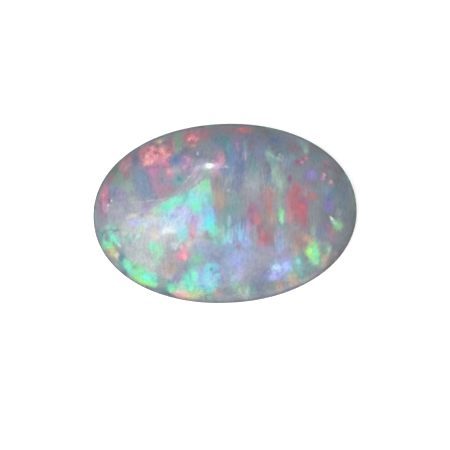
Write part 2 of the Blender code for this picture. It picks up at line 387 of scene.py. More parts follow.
FIELDS = {
    "body": Field("clouds", 0.84, 1.0, (
        ("slate", -4.9, 2.5, 1.5, 1.1, 30), ("grey", -2.3, 3.9, 1.6, 0.8, 10),
        ("slate", 0.9, 3.2, 1.2, 1.6), ("shale", 3.0, 3.8, 1.6, 0.9, -15),
        ("ash", 5.3, 2.6, 1.5, 1.4, -30), ("smoke", 6.4, -1.5, 0.8, 1.5, 20),
        ("lilac", 1.2, -2.9, 1.8, 1.1, 10), ("mist", 1.2, 0.9, 1.1, 1.0), ("lilac", -1.1, -2.2, 0.9, 0.6),
        ("slate", 2.1, -4.1, 1.2, 0.5, 10), ("dusk", 0.4, 4.7, 1.8, 0.4),
        ("mist", 2.9, -1.0, 1.3, 1.6, 0, 0.4),
    )),
    "veiled body": Field("clouds", 0.93, 1.0, (
        ("mist", -5.6, 0.9, 1.2, 0.8, 20), ("cloud", -4.3, -1.4, 1.5, 1.5), ("fog", -5.0, -2.2, 0.9, 0.9),
        ("pearl", -3.2, -0.6, 1.2, 0.9, 10), ("mist", -2.9, -2.4, 1.0, 1.2),
        ("mauve", -6.95, 0.15, 0.45, 0.5), ("sand", -3.2, -3.1, 0.5, 0.7, 0, 0.5),
    )),
    "top left washes": Field("clouds", 0.89, 0.9, (
        ("moss", -6.2, 2.45, 0.32, 0.5, -35), ("leaf", -6.05, 1.95, 0.32, 0.38),
        ("dusk rose", -6.52, 1.95, 0.16, 0.35, -30), ("rose", -5.68, 2.7, 0.3, 0.5, 12),
        ("dusk rose", -5.45, 3.15, 0.22, 0.2), ("shale", -5.05, 3.15, 0.22, 0.5),
        ("mauve", -4.85, 2.65, 0.2, 0.28, 0, 0.8), ("grey", -5.25, 2.2, 0.35, 0.45),
        ("sage", -5.5, 1.5, 0.32, 0.46, -10, 0.7), ("steel", -4.7, 1.9, 0.42, 0.75, 5, 0.85),
        ("steel", -4.4, 1.25, 0.45, 0.45), ("heather", -4.3, 1.75, 0.1, 0.3, 15, 0.6),
        ("steel", -6.38, 1.3, 0.25, 0.35, 0, 0.6), ("slate", -6.15, 1.05, 0.28, 0.3),
        ("heather", -6.6, 1.05, 0.12, 0.26, -10, 0.8), ("coral", -6.88, 1.22, 0.2, 0.38, -12, 0.85),
        ("hot pink", -6.84, 0.75, 0.15, 0.25), ("plum", -6.62, 0.7, 0.12, 0.12),
        ("blush", -6.78, 0.32, 0.16, 0.28, 0, 0.8), ("dusk rose", -7.06, 0.55, 0.1, 0.34, 0, 0.9),
        ("pink", -4.28, 3.15, 0.44, 0.54, 0, 0.95), ("candy", -4.28, 2.92, 0.34, 0.24, 0, 0.7),
        ("candy", -4.15, 3.5, 0.2, 0.16, 0, 0.5), ("pink", -3.55, 3.35, 0.45, 0.46, 0, 0.9),
        ("dusk rose", -4.8, 3.5, 0.2, 0.3), ("dusk rose", -3.98, 3.84, 0.36, 0.2),
        ("dusk rose", -3.12, 3.85, 0.22, 0.5), ("leaf", -2.65, 4.1, 0.22, 0.48, 8),
        ("sage", -2.62, 3.55, 0.2, 0.18), ("blue", -2.9, 3.0, 0.32, 0.2, 5, 0.9),
        ("denim", -2.6, 3.08, 0.28, 0.2, 5, 0.9), ("hot pink", -3.45, 2.9, 0.26, 0.24, 0, 0.95),
        ("foxglove", -3.68, 2.56, 0.26, 0.24, 0, 0.8), ("mulberry", -4.0, 2.52, 0.3, 0.2),
        ("magenta", -4.1, 2.3, 0.25, 0.28, 0, 0.85), ("mauve", -4.38, 2.6, 0.2, 0.2),
        ("pink", -3.15, 2.3, 0.22, 0.26), ("foxglove", -3.92, 1.85, 0.22, 0.4, 15, 0.9),
        ("foxglove", -3.6, 1.35, 0.5, 0.32, 0, 0.9), ("lilac", -3.14, 1.88, 0.24, 0.28, 0, 0.8),
        ("pearl", -2.85, 2.45, 0.2, 0.25, 0, 0.5), ("lagoon", -2.58, 1.9, 0.26, 0.28, 0, 0.95),
        ("mist", -2.7, 1.36, 0.24, 0.16), ("lilac", -2.5, 2.6, 0.22, 0.24),
    )),
    "top washes": Field("streaks", 0.89, 0.9, (
        ("red", -1.92, 4.28, 0.42, 0.36, 0, 0.8), ("dusk rose", -1.2, 4.5, 0.42, 0.35),
        ("pine", -0.42, 4.2, 0.36, 0.4, 0, 0.98), ("slate", -0.5, 3.85, 0.4, 0.2),
        ("clay", -1.85, 3.68, 0.2, 0.18), ("shale", -2.3, 3.45, 0.42, 0.25),
        ("slate", -1.55, 3.3, 0.35, 0.3), ("foxglove", -0.28, 3.05, 0.3, 0.48, -8, 0.95),
        ("blush", -0.16, 2.96, 0.12, 0.16, 0, 0.4), ("magenta", -2.15, 2.9, 0.24, 0.38, -5, 0.95),
        # Painted glow of the glint, round the lamps' real one: the pearl and lavender at (-1.4, 2.6), the pearl at
        # (-0.84, 2.4) and the lilac at (-1.45, 2.93).
        ("violet", -2.5, 3.05, 0.2, 0.2, 0, 0.6), ("pearl", -1.4, 2.65, 0.4, 0.2, -5, 0.25),
        ("lavender", -1.4, 2.6, 0.35, 0.12, 0, 0.3), ("pearl", -0.84, 2.4, 0.22, 0.12, 0, 0.8),
        ("lilac", -1.45, 2.93, 0.45, 0.13, 5, 0.8), ("lilac", -2.15, 2.38, 0.28, 0.24),
        ("blush", -1.7, 2.35, 0.2, 0.28, 0, 0.6), ("mist", -1.35, 2.25, 0.25, 0.3),
        ("sage", -1.08, 2.32, 0.22, 0.28), ("blush", -0.48, 2.36, 0.24, 0.3, 0, 0.7),
        ("slate", -0.12, 2.5, 0.22, 0.25), ("red", 1.1, 4.7, 0.38, 0.16, -4),
        ("heather", 0.7, 4.0, 0.24, 0.48), ("deep teal", 0.1, 3.95, 0.28, 0.52, 5, 0.85),
        ("pine", 0.12, 3.4, 0.2, 0.4), ("blue", 0.36, 3.1, 0.2, 0.62, 0, 0.8),
        ("steel", 0.35, 2.4, 0.28, 0.5), ("denim", 0.85, 2.7, 0.22, 0.85, 0, 0.85),
        ("slate", 0.65, 1.4, 0.32, 0.5, 0, 0.7), ("lilac", 1.15, 3.25, 0.12, 0.28, 0, 0.6),
        ("pine", 1.5, 3.1, 0.22, 0.45), ("teal", 1.6, 2.5, 0.32, 0.4, 0, 0.6),
        ("dusk", 1.5, 3.9, 0.22, 0.25), ("slate", 2.0, 3.6, 0.32, 0.5),
        ("smoke", 2.3, 4.4, 0.55, 0.34, -8), ("shale", 1.4, 4.32, 0.4, 0.28),
        ("shale", 2.42, 2.5, 0.16, 0.65), ("teal", 2.48, 3.38, 0.18, 0.3),
    )),
    "centre washes": Field("streaks", 0.84, 0.9, (
        ("fog", 1.7, 1.75, 0.45, 0.45, 0, 0.4), ("brown", -0.5, 1.7, 0.14, 0.5),
        ("tan", -0.4, 1.0, 0.28, 0.42), ("tan", -0.25, 0.52, 0.32, 0.4), ("olive", 0.12, 0.75, 0.17, 0.42),
        ("teal", 0.6, 0.6, 0.38, 0.5), ("teal", 0.3, 0.15, 0.38, 0.28),
        ("brown", 1.1, 0.95, 0.32, 0.5, 0, 0.4), ("mulberry", 1.6, 0.22, 0.36, 0.38, 0, 0.8),
        ("mauve", 2.05, 0.7, 0.26, 0.5), ("clay", 2.42, 1.1, 0.26, 0.32), ("clay", 2.45, 0.42, 0.22, 0.45),
        ("brown", 2.3, 1.4, 0.3, 0.25), ("steel", 2.58, 1.85, 0.22, 0.35), ("sage", 2.85, 2.45, 0.18, 0.4),
        ("sage", 3.0, 2.15, 0.22, 0.48, 0, 0.7), ("sage", 3.18, 1.6, 0.22, 0.4),
        ("sage", 3.12, 0.7, 0.16, 0.46, 0, 0.6), ("brown", 2.2, -0.3, 0.3, 0.4),
        ("tan", 2.7, -0.3, 0.2, 0.4), ("teal", 3.15, -0.75, 0.3, 0.2), ("brown", 2.65, -0.8, 0.25, 0.35),
        ("mulberry", 1.55, -0.3, 0.3, 0.6, 0, 0.8), ("rose", 1.85, -0.4, 0.2, 0.4),
    )),
    "top right washes": Field("clouds", 0.89, 0.9, (
        ("navy", 2.85, 4.2, 0.34, 0.22, 0, 0.7), ("dusk", 3.92, 3.75, 0.36, 0.3),
        ("teal", 4.4, 4.0, 0.3, 0.14, -30, 0.6), ("sage", 4.6, 3.62, 0.16, 0.26, 0, 0.6),
        ("smoke", 5.1, 3.5, 0.42, 0.4, -30), ("sage", 2.52, 3.3, 0.2, 0.25, 0, 0.6),
        ("teal", 2.75, 2.95, 0.22, 0.32), ("sage", 3.1, 3.1, 0.22, 0.16, 0, 0.5),
        ("steel", 3.58, 2.98, 0.3, 0.25, 0, 0.6), ("mulberry", 4.4, 3.0, 0.32, 0.2, 30),
        ("pine", 5.2, 3.12, 0.28, 0.28), ("iris", 4.92, 2.22, 0.3, 0.27, 0, 0.95),
        ("heather", 4.8, 1.9, 0.26, 0.22, 0, 0.7), ("dusk", 5.78, 2.7, 0.32, 0.36),
        ("umber", 6.42, 2.5, 0.34, 0.32, -45, 0.5), ("smoke", 6.42, 1.9, 0.3, 0.42),
        ("steel", 5.8, 1.28, 0.3, 0.32, 0, 0.6), ("pine", 6.28, 1.28, 0.26, 0.28),
        ("shale", 6.8, 1.3, 0.26, 0.52), ("denim", 5.95, 0.85, 0.3, 0.3, 0, 0.6),
        ("iris", 5.93, 0.45, 0.26, 0.32), ("pine", 6.7, 0.6, 0.32, 0.62, 0, 0.6),
        ("pine", 3.35, 3.6, 0.3, 0.3, 0, 0.5), ("plum", 4.12, 2.86, 0.2, 0.15, 30, 0.5),
        ("plum", 5.62, 2.05, 0.2, 0.22, 0, 0.4), ("rose", 6.02, 1.72, 0.14, 0.14, 0, 0.5),
    )),
    "right washes": Field("clouds", 0.89, 0.9, (
        ("red", 4.1, 1.42, 0.28, 0.26, 0, 0.5), ("mauve", 4.66, 1.42, 0.3, 0.26),
        ("red", 4.0, 1.0, 0.36, 0.5, 0, 0.75), ("clay", 4.9, 0.95, 0.26, 0.16),
        ("dusk rose", 4.18, 0.6, 0.34, 0.45, 0, 0.85), ("mulberry", 4.55, 0.5, 0.26, 0.36),
        ("red", 4.38, 0.22, 0.26, 0.32, 0, 0.7), ("red", 3.82, 0.42, 0.22, 0.48, 0, 0.65),
        ("rose", 3.7, -0.2, 0.2, 0.4), ("dusk rose", 4.12, -0.35, 0.22, 0.3, 0, 0.6),
        ("red", 4.1, 0.25, 0.28, 0.4, 0, 0.6), ("red", 4.45, -0.25, 0.25, 0.4),
        ("dusk rose", 4.55, -0.6, 0.22, 0.35), ("clay", 4.0, -1.2, 0.3, 0.3, 0, 0.5),
        ("dusk rose", 2.0, -0.95, 0.25, 0.5), ("clay", 2.38, -1.4, 0.4, 0.4, 0, 0.6),
        ("dusk rose", 2.3, -1.4, 0.4, 0.42, 0, 0.6), ("rose", 2.05, -1.75, 0.25, 0.22),
        ("lilac", 2.3, -2.05, 0.4, 0.2), ("grey", 5.15, -0.7, 0.2, 0.8), ("slate", 5.45, -1.1, 0.25, 0.4),
        ("mist", 5.78, -1.2, 0.22, 0.24, 0, 0.5), ("heather", 5.85, -0.7, 0.2, 0.35),
        ("green", 6.44, -0.7, 0.28, 0.3, 35, 0.95), ("sage", 6.52, -0.5, 0.14, 0.26, 0, 0.6),
        ("mist", 6.5, 0.05, 0.16, 0.22, 0, 0.6), ("clay", 6.2, -1.2, 0.22, 0.3),
        ("mauve", 6.1, -1.45, 0.3, 0.28), ("mist", 5.7, -1.78, 0.26, 0.22, 0, 0.8),
        ("leaf", 5.95, -2.1, 0.25, 0.3, 10), ("leaf", 5.65, -2.0, 0.2, 0.25),
        ("gold", 5.7, -2.66, 0.22, 0.28, 0, 0.8), ("sage", 5.9, -2.12, 0.16, 0.3, -10, 0.95),
        ("sage", 5.5, -3.0, 0.2, 0.2), ("sand", 5.64, -2.7, 0.2, 0.22, 0, 0.5),
        ("plum", 6.5, -2.32, 0.22, 0.26, 0, 0.8), ("brown", 6.12, -2.5, 0.3, 0.24, 45),
        ("mist", 6.32, -2.2, 0.14, 0.2, 0, 0.8), ("grey", 6.5, -1.45, 0.35, 0.45, 0, 0.8),
        ("ash", 6.8, -0.8, 0.3, 0.6), ("ash", 6.35, -1.95, 0.25, 0.25),
        ("sage", 5.04, -1.08, 0.13, 0.32, 0, 0.7), ("tan", 4.75, -1.5, 0.3, 0.2),
        ("clay", 4.3, -1.65, 0.28, 0.3, 0, 0.7), ("orange", 4.62, -1.38, 0.16, 0.16, 0, 0.4),
        ("tan", 4.02, -1.98, 0.22, 0.28, 0, 0.9), ("sand", 3.9, -2.4, 0.3, 0.2, 0, 0.5),
        ("lilac", 3.85, -2.7, 0.25, 0.2), ("sage", 5.25, -1.75, 0.15, 0.35, 15),
        ("lime", 4.86, -2.18, 0.24, 0.32, 0, 0.98), ("spring", 5.1, -2.32, 0.24, 0.58, 8, 0.98),
        ("pale green", 5.12, -2.85, 0.16, 0.2, 0, 0.9), ("sage", 4.8, -2.74, 0.14, 0.14, 0, 0.7),
        ("teal", 4.85, -3.12, 0.32, 0.26), ("grey", 5.12, -3.36, 0.34, 0.22, 35, 0.9),
        ("mist", 5.0, -3.58, 0.3, 0.12, 35, 0.7), ("sea", 4.12, -2.92, 0.26, 0.42, 5, 0.98),
        ("teal", 4.3, -3.45, 0.25, 0.3), ("sage", 4.6, -3.8, 0.28, 0.2, 30),
        ("fog", 4.28, -3.95, 0.28, 0.18, 25, 0.8), ("sea", 4.35, -3.08, 0.16, 0.24, 0, 0.8),
        ("lilac", 3.15, -1.3, 0.25, 0.4), ("lake", 3.14, -1.85, 0.22, 0.42, 0, 0.85),
        ("lilac", 3.4, -2.3, 0.35, 0.4), ("lilac", 2.75, -2.35, 0.25, 0.3),
        ("sky", 2.94, -3.05, 0.34, 0.3, 0, 0.85), ("hyacinth", 2.75, -3.55, 0.4, 0.28, 0, 0.98),
        ("hyacinth", 3.42, -3.05, 0.3, 0.44, 0, 0.95), ("periwinkle", 3.2, -3.38, 0.3, 0.22),
        ("tan", 3.1, -4.15, 0.28, 0.36, 0, 0.9), ("sand", 3.12, -4.38, 0.25, 0.17),
        ("gold", 3.8, -3.62, 0.3, 0.25), ("tan", 3.9, -3.95, 0.3, 0.22, 0, 0.85),
        ("sand", 3.82, -4.14, 0.26, 0.18, 0, 0.9), ("sage", 3.8, -3.46, 0.2, 0.16, 0, 0.8),
        ("mist", 3.5, -4.22, 0.15, 0.26), ("leaf", 2.75, -4.1, 0.15, 0.3),
        ("dusk rose", 2.5, -1.4, 0.26, 0.34, 0, 0.5),
    )),
    "left washes": Field("clouds", 0.88, 0.9, (
        ("lilac", -5.85, 0.8, 0.35, 0.38), ("mist", -6.35, 0.35, 0.4, 0.3),
        ("mist", -5.55, 0.3, 0.4, 0.42), ("mist", -4.9, 0.75, 0.45, 0.25),
        ("lilac", -4.4, 0.58, 0.5, 0.16, 20), ("fog", -4.95, 0.2, 0.3, 0.18, 0, 0.7),
        ("pale green", -3.95, 0.16, 0.14, 0.18), ("mist", -6.5, -0.25, 0.35, 0.25),
        ("lilac", -5.95, -0.2, 0.3, 0.25, 0, 0.5), ("cream", -5.22, -0.13, 0.34, 0.11, 18, 0.8),
        ("lavender", -5.12, -0.5, 0.32, 0.2, 15, 0.85), ("ice", -4.75, -0.4, 0.35, 0.18, 0, 0.5),
        ("mist", -4.58, -0.1, 0.32, 0.14, 0, 0.8), ("pearl", -4.94, 0.34, 0.22, 0.14, 0, 0.8),
        ("cream", -4.12, -0.3, 0.3, 0.28), ("sage", -4.0, -0.02, 0.22, 0.16, 0, 0.5),
        ("ice", -4.14, -0.45, 0.16, 0.16, 0, 0.6), ("pale green", -4.7, -0.95, 0.3, 0.25),
        ("pearl", -4.35, -1.05, 0.22, 0.3), ("cream", -3.95, -1.28, 0.28, 0.32, 0, 0.95),
        ("cloud", -5.65, -0.98, 0.32, 0.22), ("sage", -6.05, -0.95, 0.22, 0.22),
        ("sea", -5.4, -1.38, 0.42, 0.3, 20, 0.8), ("pale green", -5.68, -1.66, 0.16, 0.16, 0, 0.7),
        ("cloud", -5.18, -1.08, 0.28, 0.15, 30), ("lilac", -5.6, -1.9, 0.4, 0.3, 0, 0.5),
        ("cloud", -4.7, -2.8, 0.4, 0.3), ("apple", -3.92, -1.98, 0.36, 0.36, -20, 0.95),
        ("mint", -4.04, -1.85, 0.24, 0.24, 0, 0.7), ("apple", -3.72, -2.2, 0.24, 0.42, 0, 0.7),
        ("pale green", -3.98, -2.78, 0.22, 0.26, 0, 0.8), ("cloud", -3.6, -1.55, 0.28, 0.3),
        ("cloud", -3.0, -1.3, 0.45, 0.2, 10, 0.7), ("cloud", -2.88, -1.74, 0.26, 0.18, 0, 0.9),
        ("fog", -3.02, -1.88, 0.22, 0.2, 0, 0.6), ("sea", -3.78, -3.72, 0.16, 0.22, 0, 0.7),
        ("sage", -3.42, -3.9, 0.24, 0.24), ("sand", -3.25, -3.3, 0.28, 0.4),
        ("mauve", -4.46, 0.3, 0.28, 0.14, 15, 0.6), ("sea", -3.95, -2.78, 0.2, 0.28, 0, 0.4),
    )),
    "left rim washes": Field("scales", 0.93, 0.8, (
        ("sea", -7.0, -1.22, 0.2, 0.28), ("teal", -7.1, -1.5, 0.2, 0.3),
        ("sage", -6.35, -0.68, 0.4, 0.2, 15), ("sea", -6.55, -0.76, 0.25, 0.14),
        ("pale green", -6.7, -0.82, 0.14, 0.13, 0, 0.6), ("grey", -6.3, -0.97, 0.25, 0.12),
        ("mint", -6.35, -1.45, 0.25, 0.38, 30, 0.95), ("sea", -6.12, -1.68, 0.2, 0.25),
        ("grey", -6.72, -1.38, 0.16, 0.2), ("spring", -6.68, -1.85, 0.33, 0.26, 0, 0.95),
        ("leaf", -6.28, -1.88, 0.16, 0.28), ("gold", -6.4, -2.2, 0.26, 0.38, 30, 0.95),
        ("lemon", -6.36, -2.14, 0.2, 0.26, 30, 0.5), ("tan", -6.7, -2.25, 0.15, 0.25),
        ("olive", -6.1, -2.15, 0.14, 0.25, 30, 0.6), ("cream", -6.14, -2.4, 0.13, 0.24, 15, 0.8),
        ("cloud", -5.6, -2.14, 0.18, 0.22, 0, 0.9), ("mist", -5.95, -1.98, 0.2, 0.28),
        ("deep teal", -5.85, -2.6, 0.2, 0.36, 15, 0.95), ("teal", -5.65, -2.25, 0.25, 0.25, 0, 0.5),
        ("mint", -5.6, -2.95, 0.26, 0.3, 35), ("teal", -5.88, -3.05, 0.2, 0.25),
        ("deep teal", -5.68, -3.36, 0.18, 0.2), ("mint", -5.38, -3.2, 0.2, 0.38, 30, 0.95),
        ("green", -5.2, -2.95, 0.36, 0.2, -30, 0.6), ("sage", -4.65, -3.1, 0.4, 0.25),
        ("cloud", -4.2, -3.05, 0.25, 0.32), ("spring", -4.9, -3.42, 0.46, 0.42, -15, 0.98),
        ("mint", -4.42, -3.68, 0.44, 0.3, -30, 0.98), ("lime", -4.66, -3.9, 0.5, 0.15, -22),
        ("emerald", -4.08, -3.98, 0.2, 0.2, 0, 0.8), ("lime", -4.3, -4.02, 0.35, 0.1, -15, 0.5),
    )),
    "heart washes": Field("clouds", 0.91, 0.9, (
        ("ice", -3.5, -0.6, 0.36, 0.42, 0, 0.6), ("white", -3.2, -0.98, 0.44, 0.2, 15, 0.95),
        ("aqua", -3.3, -0.15, 0.35, 0.3, 0, 0.6), ("ice", -2.75, -0.3, 0.42, 0.45),
        ("periwinkle", -2.92, -0.12, 0.25, 0.2), ("ice", -2.6, -0.75, 0.3, 0.3),
        ("aqua", -2.48, -1.1, 0.32, 0.38, 0, 0.98), ("aqua", -2.38, -1.4, 0.2, 0.25),
        ("pale green", -2.56, -1.5, 0.1, 0.14, 0, 0.7), ("ice", -2.2, -0.15, 0.24, 0.32, 0, 0.9),
        ("orchid", -1.75, -0.3, 0.36, 0.3, 0, 0.98), ("lavender", -1.4, -0.38, 0.2, 0.36, 0, 0.95),
        ("aqua", -1.25, -0.82, 0.2, 0.3, 0, 0.7), ("ice", -1.5, -0.95, 0.14, 0.3, 0, 0.7),
        ("orchid", -1.75, -0.72, 0.15, 0.2, 0, 0.6), ("blush", -1.82, -1.12, 0.2, 0.44, 0, 0.95),
        ("rose", -1.9, -1.45, 0.14, 0.22), ("fog", -1.25, -1.25, 0.35, 0.3),
        ("mist", -1.0, -1.25, 0.25, 0.25), ("leaf", -0.85, -1.45, 0.2, 0.25),
        ("pearl", -1.55, -1.65, 0.26, 0.22, 0, 0.9), ("fog", -1.0, -1.65, 0.25, 0.2, 0, 0.6),
        ("cream", -2.0, -1.75, 0.26, 0.26), ("cloud", -2.15, -1.46, 0.15, 0.16, 0, 0.7),
        ("fog", -1.85, -2.1, 0.25, 0.3), ("pink", -2.42, -2.48, 0.34, 0.25, 5, 0.95),
        ("blush", -2.66, -2.36, 0.14, 0.16, 0, 0.7), ("pink", -2.33, -2.15, 0.18, 0.36, 8, 0.9),
        ("blush", -2.3, -2.1, 0.14, 0.16, 0, 0.8), ("sand", -2.12, -2.68, 0.15, 0.15),
    )),
    "lower washes": Field("streaks", 0.91, 0.9, (
        ("cyan", -0.93, -0.42, 0.28, 0.42, 0, 0.98), ("sky", -0.65, -0.3, 0.18, 0.4),
        ("cyan", -0.78, -0.8, 0.26, 0.32, 20, 0.98), ("mint", -0.62, -1.02, 0.22, 0.28, 20, 0.98),
        ("sea", -0.68, -1.22, 0.2, 0.1), ("sea", -0.3, -0.65, 0.2, 0.4, 0, 0.6),
        ("pale green", -0.2, -1.1, 0.2, 0.4, 0, 0.95), ("lilac", -0.42, 0.0, 0.16, 0.18, 0, 0.6),
        ("sea", -0.42, -1.6, 0.32, 0.42, 0, 0.95), ("aqua", -0.1, -1.66, 0.12, 0.16, 0, 0.6),
        ("teal", 0.02, -0.6, 0.28, 0.6), ("fog", -0.22, -0.45, 0.1, 0.2, 0, 0.4),
        ("sea", 0.2, -0.75, 0.12, 0.5, 0, 0.6), ("aqua", 0.2, -1.42, 0.22, 0.3),
        ("steel", 0.55, -0.6, 0.22, 0.5), ("lake", 0.58, -1.42, 0.25, 0.36, 0, 0.9),
        ("sky", 0.88, -1.15, 0.16, 0.46, 10), ("slate", 1.05, -0.6, 0.2, 0.4),
        ("lake", 1.12, -1.4, 0.25, 0.4), ("orchid", 1.32, -0.85, 0.15, 0.45, 0, 0.7),
        ("periwinkle", 1.15, -1.75, 0.36, 0.26, 0, 0.9), ("mist", 1.65, -1.45, 0.2, 0.5),
        ("mist", 1.68, -1.05, 0.12, 0.3), ("lake", 0.45, -1.85, 0.28, 0.25),
        ("haze", 0.8, -2.0, 0.25, 0.25), ("lavender", 0.8, -2.4, 0.3, 0.25, 0, 0.5),
        ("lake", 0.2, -2.15, 0.34, 0.5), ("haze", -0.35, -2.38, 0.35, 0.3),
        ("haze", -0.95, -2.15, 0.45, 0.45), ("haze", -1.5, -1.95, 0.3, 0.3),
        ("slate", -0.5, -2.6, 0.45, 0.3, 0, 0.5), ("lake", -0.74, -2.7, 0.16, 0.12, 0, 0.8),
        ("periwinkle", 0.72, -2.8, 0.6, 0.46, 0, 0.98), ("haze", 1.3, -2.3, 0.45, 0.35),
        ("mist", 1.4, -3.1, 0.4, 0.4, 0, 0.6), ("mist", 2.2, -2.6, 0.5, 0.4),
        ("sea", -1.7, -2.65, 0.36, 0.3, 0, 0.7), ("sea", -1.4, -2.5, 0.32, 0.35, 0, 0.6),
        ("slate", -2.3, -3.2, 0.3, 0.3, 0, 0.6), ("lake", -2.26, -3.45, 0.14, 0.16, 0, 0.8),
        ("sea", -1.88, -3.1, 0.25, 0.28), ("violet", -2.75, -3.72, 0.3, 0.3),
        ("mist", -2.52, -3.35, 0.22, 0.34), ("pearl", -3.08, -3.5, 0.16, 0.24, 0, 0.8),
        ("brown", -3.0, -3.15, 0.25, 0.3, 0, 0.5), ("teal", -3.2, -4.0, 0.25, 0.2),
        ("jade", -3.03, -4.24, 0.26, 0.26, 0, 0.9), ("spring", -2.95, -4.35, 0.2, 0.2),
        ("deep teal", -3.45, -4.42, 0.35, 0.15, -15), ("ink", -3.1, -4.65, 0.3, 0.1, -15),
        ("mint", -1.72, -3.55, 0.26, 0.33, 0, 0.95), ("jade", -2.08, -3.9, 0.3, 0.48, 0, 0.98),
        ("spring", -1.7, -4.2, 0.35, 0.3), ("pale green", -2.5, -4.25, 0.4, 0.28, 0, 0.95),
        ("mint", -2.4, -4.02, 0.14, 0.14, 0, 0.7), ("cream", -2.68, -4.5, 0.3, 0.14, -12, 0.8),
        ("pale green", -2.15, -4.42, 0.28, 0.12, -10, 0.9), ("orange", -2.25, -4.72, 0.5, 0.15, -8, 0.98),
        ("lemon", -1.85, -4.72, 0.3, 0.13), ("lemon", -1.5, -4.5, 0.35, 0.2, 0, 0.7),
        ("aqua", -1.45, -4.0, 0.25, 0.36), ("periwinkle", -1.35, -3.5, 0.28, 0.4, 0, 0.9),
        ("sky", -1.2, -3.8, 0.3, 0.4), ("cyan", -0.94, -3.36, 0.2, 0.4, 0, 0.75),
        ("aqua", -0.85, -3.9, 0.28, 0.34, 0, 0.9), ("aqua", -0.72, -3.08, 0.42, 0.2, 0, 0.6),
        ("cyan", -0.75, -3.08, 0.34, 0.18, 0, 0.6), ("steel", -0.4, -3.2, 0.35, 0.3),
        ("sky", -0.55, -3.6, 0.3, 0.34), ("lake", -0.3, -3.85, 0.2, 0.26, 0, 0.7),
        ("aqua", -0.74, -4.12, 0.34, 0.2, 0, 0.9), ("haze", 0.1, -3.2, 0.35, 0.5),
        ("fog", -2.9, -3.22, 0.14, 0.2, 0, 0.7), ("cyan", -0.92, -4.38, 0.22, 0.14, 0, 0.8),
        ("green", -0.95, -4.7, 0.25, 0.2, 0, 0.6), ("sky", -1.05, -4.15, 0.2, 0.16),
        ("sand", -0.45, -4.6, 0.22, 0.18, 0, 0.9), ("cloud", -0.56, -4.38, 0.12, 0.14, 0, 0.8),
        ("clay", -0.38, -4.5, 0.16, 0.2, 0, 0.4), ("mist", 0.3, -4.8, 0.8, 0.15),
        ("sea", 0.5, -3.9, 0.25, 0.5, 0, 0.5), ("ice", 0.6, -3.8, 0.22, 0.35, 0, 0.4),
        ("lavender", 0.88, -3.45, 0.22, 0.3, 0, 0.6), ("sage", 0.75, -4.3, 0.3, 0.3),
        ("sage", 1.1, -4.3, 0.3, 0.4), ("fog", 1.25, -4.6, 0.4, 0.22, 0, 0.9),
        ("mist", 1.25, -3.6, 0.4, 0.4, 0, 0.5), ("teal", 1.5, -4.4, 0.2, 0.4),
        ("slate", 2.3, -3.5, 0.3, 0.5, 0, 0.5), ("grey", 2.45, -4.3, 0.3, 0.3),
        ("fog", 2.62, -4.55, 0.26, 0.16, 0, 0.6), ("sand", -3.42, -3.25, 0.18, 0.36, 10, 0.8),
        ("tan", -2.98, -3.15, 0.26, 0.26, 0, 0.6), ("sea", -1.58, -2.7, 0.28, 0.36, 0, 0.6),
        ("teal", -2.18, -3.0, 0.14, 0.3, 0, 0.4),
    )),
    "upper left flashes": Field("grains", 0.93, 0.35, (
        ("rose", -5.45, 3.1, 0.12, 0.1), ("dusk rose", -5.6, 2.15, 0.18, 0.22, 0, 0.6),
        ("crimson", -4.38, 3.57, 0.09, 0.09), ("candy", -4.16, 3.68, 0.14, 0.12, 0, 0.7),
        ("rose", -4.75, 3.55, 0.1, 0.16), ("peach", -4.46, 3.24, 0.12, 0.11, 0, 0.8),
        ("salmon", -4.42, 2.84, 0.18, 0.14), ("crimson", -3.95, 3.4, 0.1, 0.13),
        ("candy", -3.97, 3.2, 0.11, 0.12, 0, 0.7), ("coral", -4.48, 3.62, 0.2, 0.1, 0, 0.8),
        ("red", -4.62, 3.36, 0.09, 0.14, 0, 0.6), ("clay", -4.02, 2.78, 0.12, 0.1, 0, 0.7),
        ("magenta", -3.8, 2.44, 0.13, 0.14, 0, 0.6), ("foxglove", -3.65, 2.66, 0.12, 0.12),
        ("gold", -3.76, 4.07, 0.2, 0.11, 10, 0.85), ("rose", -2.93, 3.85, 0.06, 0.25),
        ("salmon", -3.56, 3.58, 0.16, 0.13), ("crimson", -3.22, 3.54, 0.11, 0.12, 0, 0.9),
        ("clay", -3.38, 3.64, 0.1, 0.1, 0, 0.7), ("salmon", -3.34, 3.28, 0.28, 0.11, 40, 0.85),
        ("mauve", -2.9, 3.42, 0.1, 0.1), ("pink", -1.9, 4.28, 0.28, 0.28, 0, 0.5),
        ("crimson", -2.08, 4.42, 0.09, 0.1, 0, 0.6), ("salmon", -1.85, 4.32, 0.09, 0.09),
        ("salmon", -2.0, 4.2, 0.08, 0.08), ("pink", -1.6, 4.22, 0.12, 0.11, 0, 0.8),
        ("crimson", -1.82, 4.14, 0.07, 0.07, 0, 0.7), ("sand", -1.8, 3.86, 0.11, 0.08, 0, 0.7),
        ("rose", -1.55, 4.58, 0.14, 0.12, 0, 0.5), ("heather", -3.2, 3.02, 0.13, 0.16, 0, 0.95),
        ("red", -3.8, 3.46, 0.11, 0.14, 0, 0.8), ("rose", -3.97, 2.88, 0.12, 0.11, 0, 0.7),
        ("umber", -4.1, 3.98, 0.18, 0.09, 20, 0.5), ("umber", -3.4, 4.0, 0.14, 0.12, 0, 0.5),
        ("candy", -2.06, 4.3, 0.1, 0.1, 0, 0.5),
    )),
    "top middle flashes": Field("streaks", 0.93, 0.35, (
        ("fog", -1.53, 3.43, 0.07, 0.07, 0, 0.7), ("pink", -0.09, 3.2, 0.06, 0.24, 0, 0.5),
        ("blush", -0.35, 2.8, 0.2, 0.12, 0, 0.7), ("blush", -2.08, 3.05, 0.1, 0.12, 0, 0.5),
        ("blush", -2.3, 2.65, 0.12, 0.1, 0, 0.6), ("teal", 0.18, 3.75, 0.18, 0.4, 5, 0.5),
        ("lilac", 0.7, 3.9, 0.07, 0.12, 0, 0.6), ("lilac", 0.74, 3.65, 0.07, 0.12, 0, 0.6),
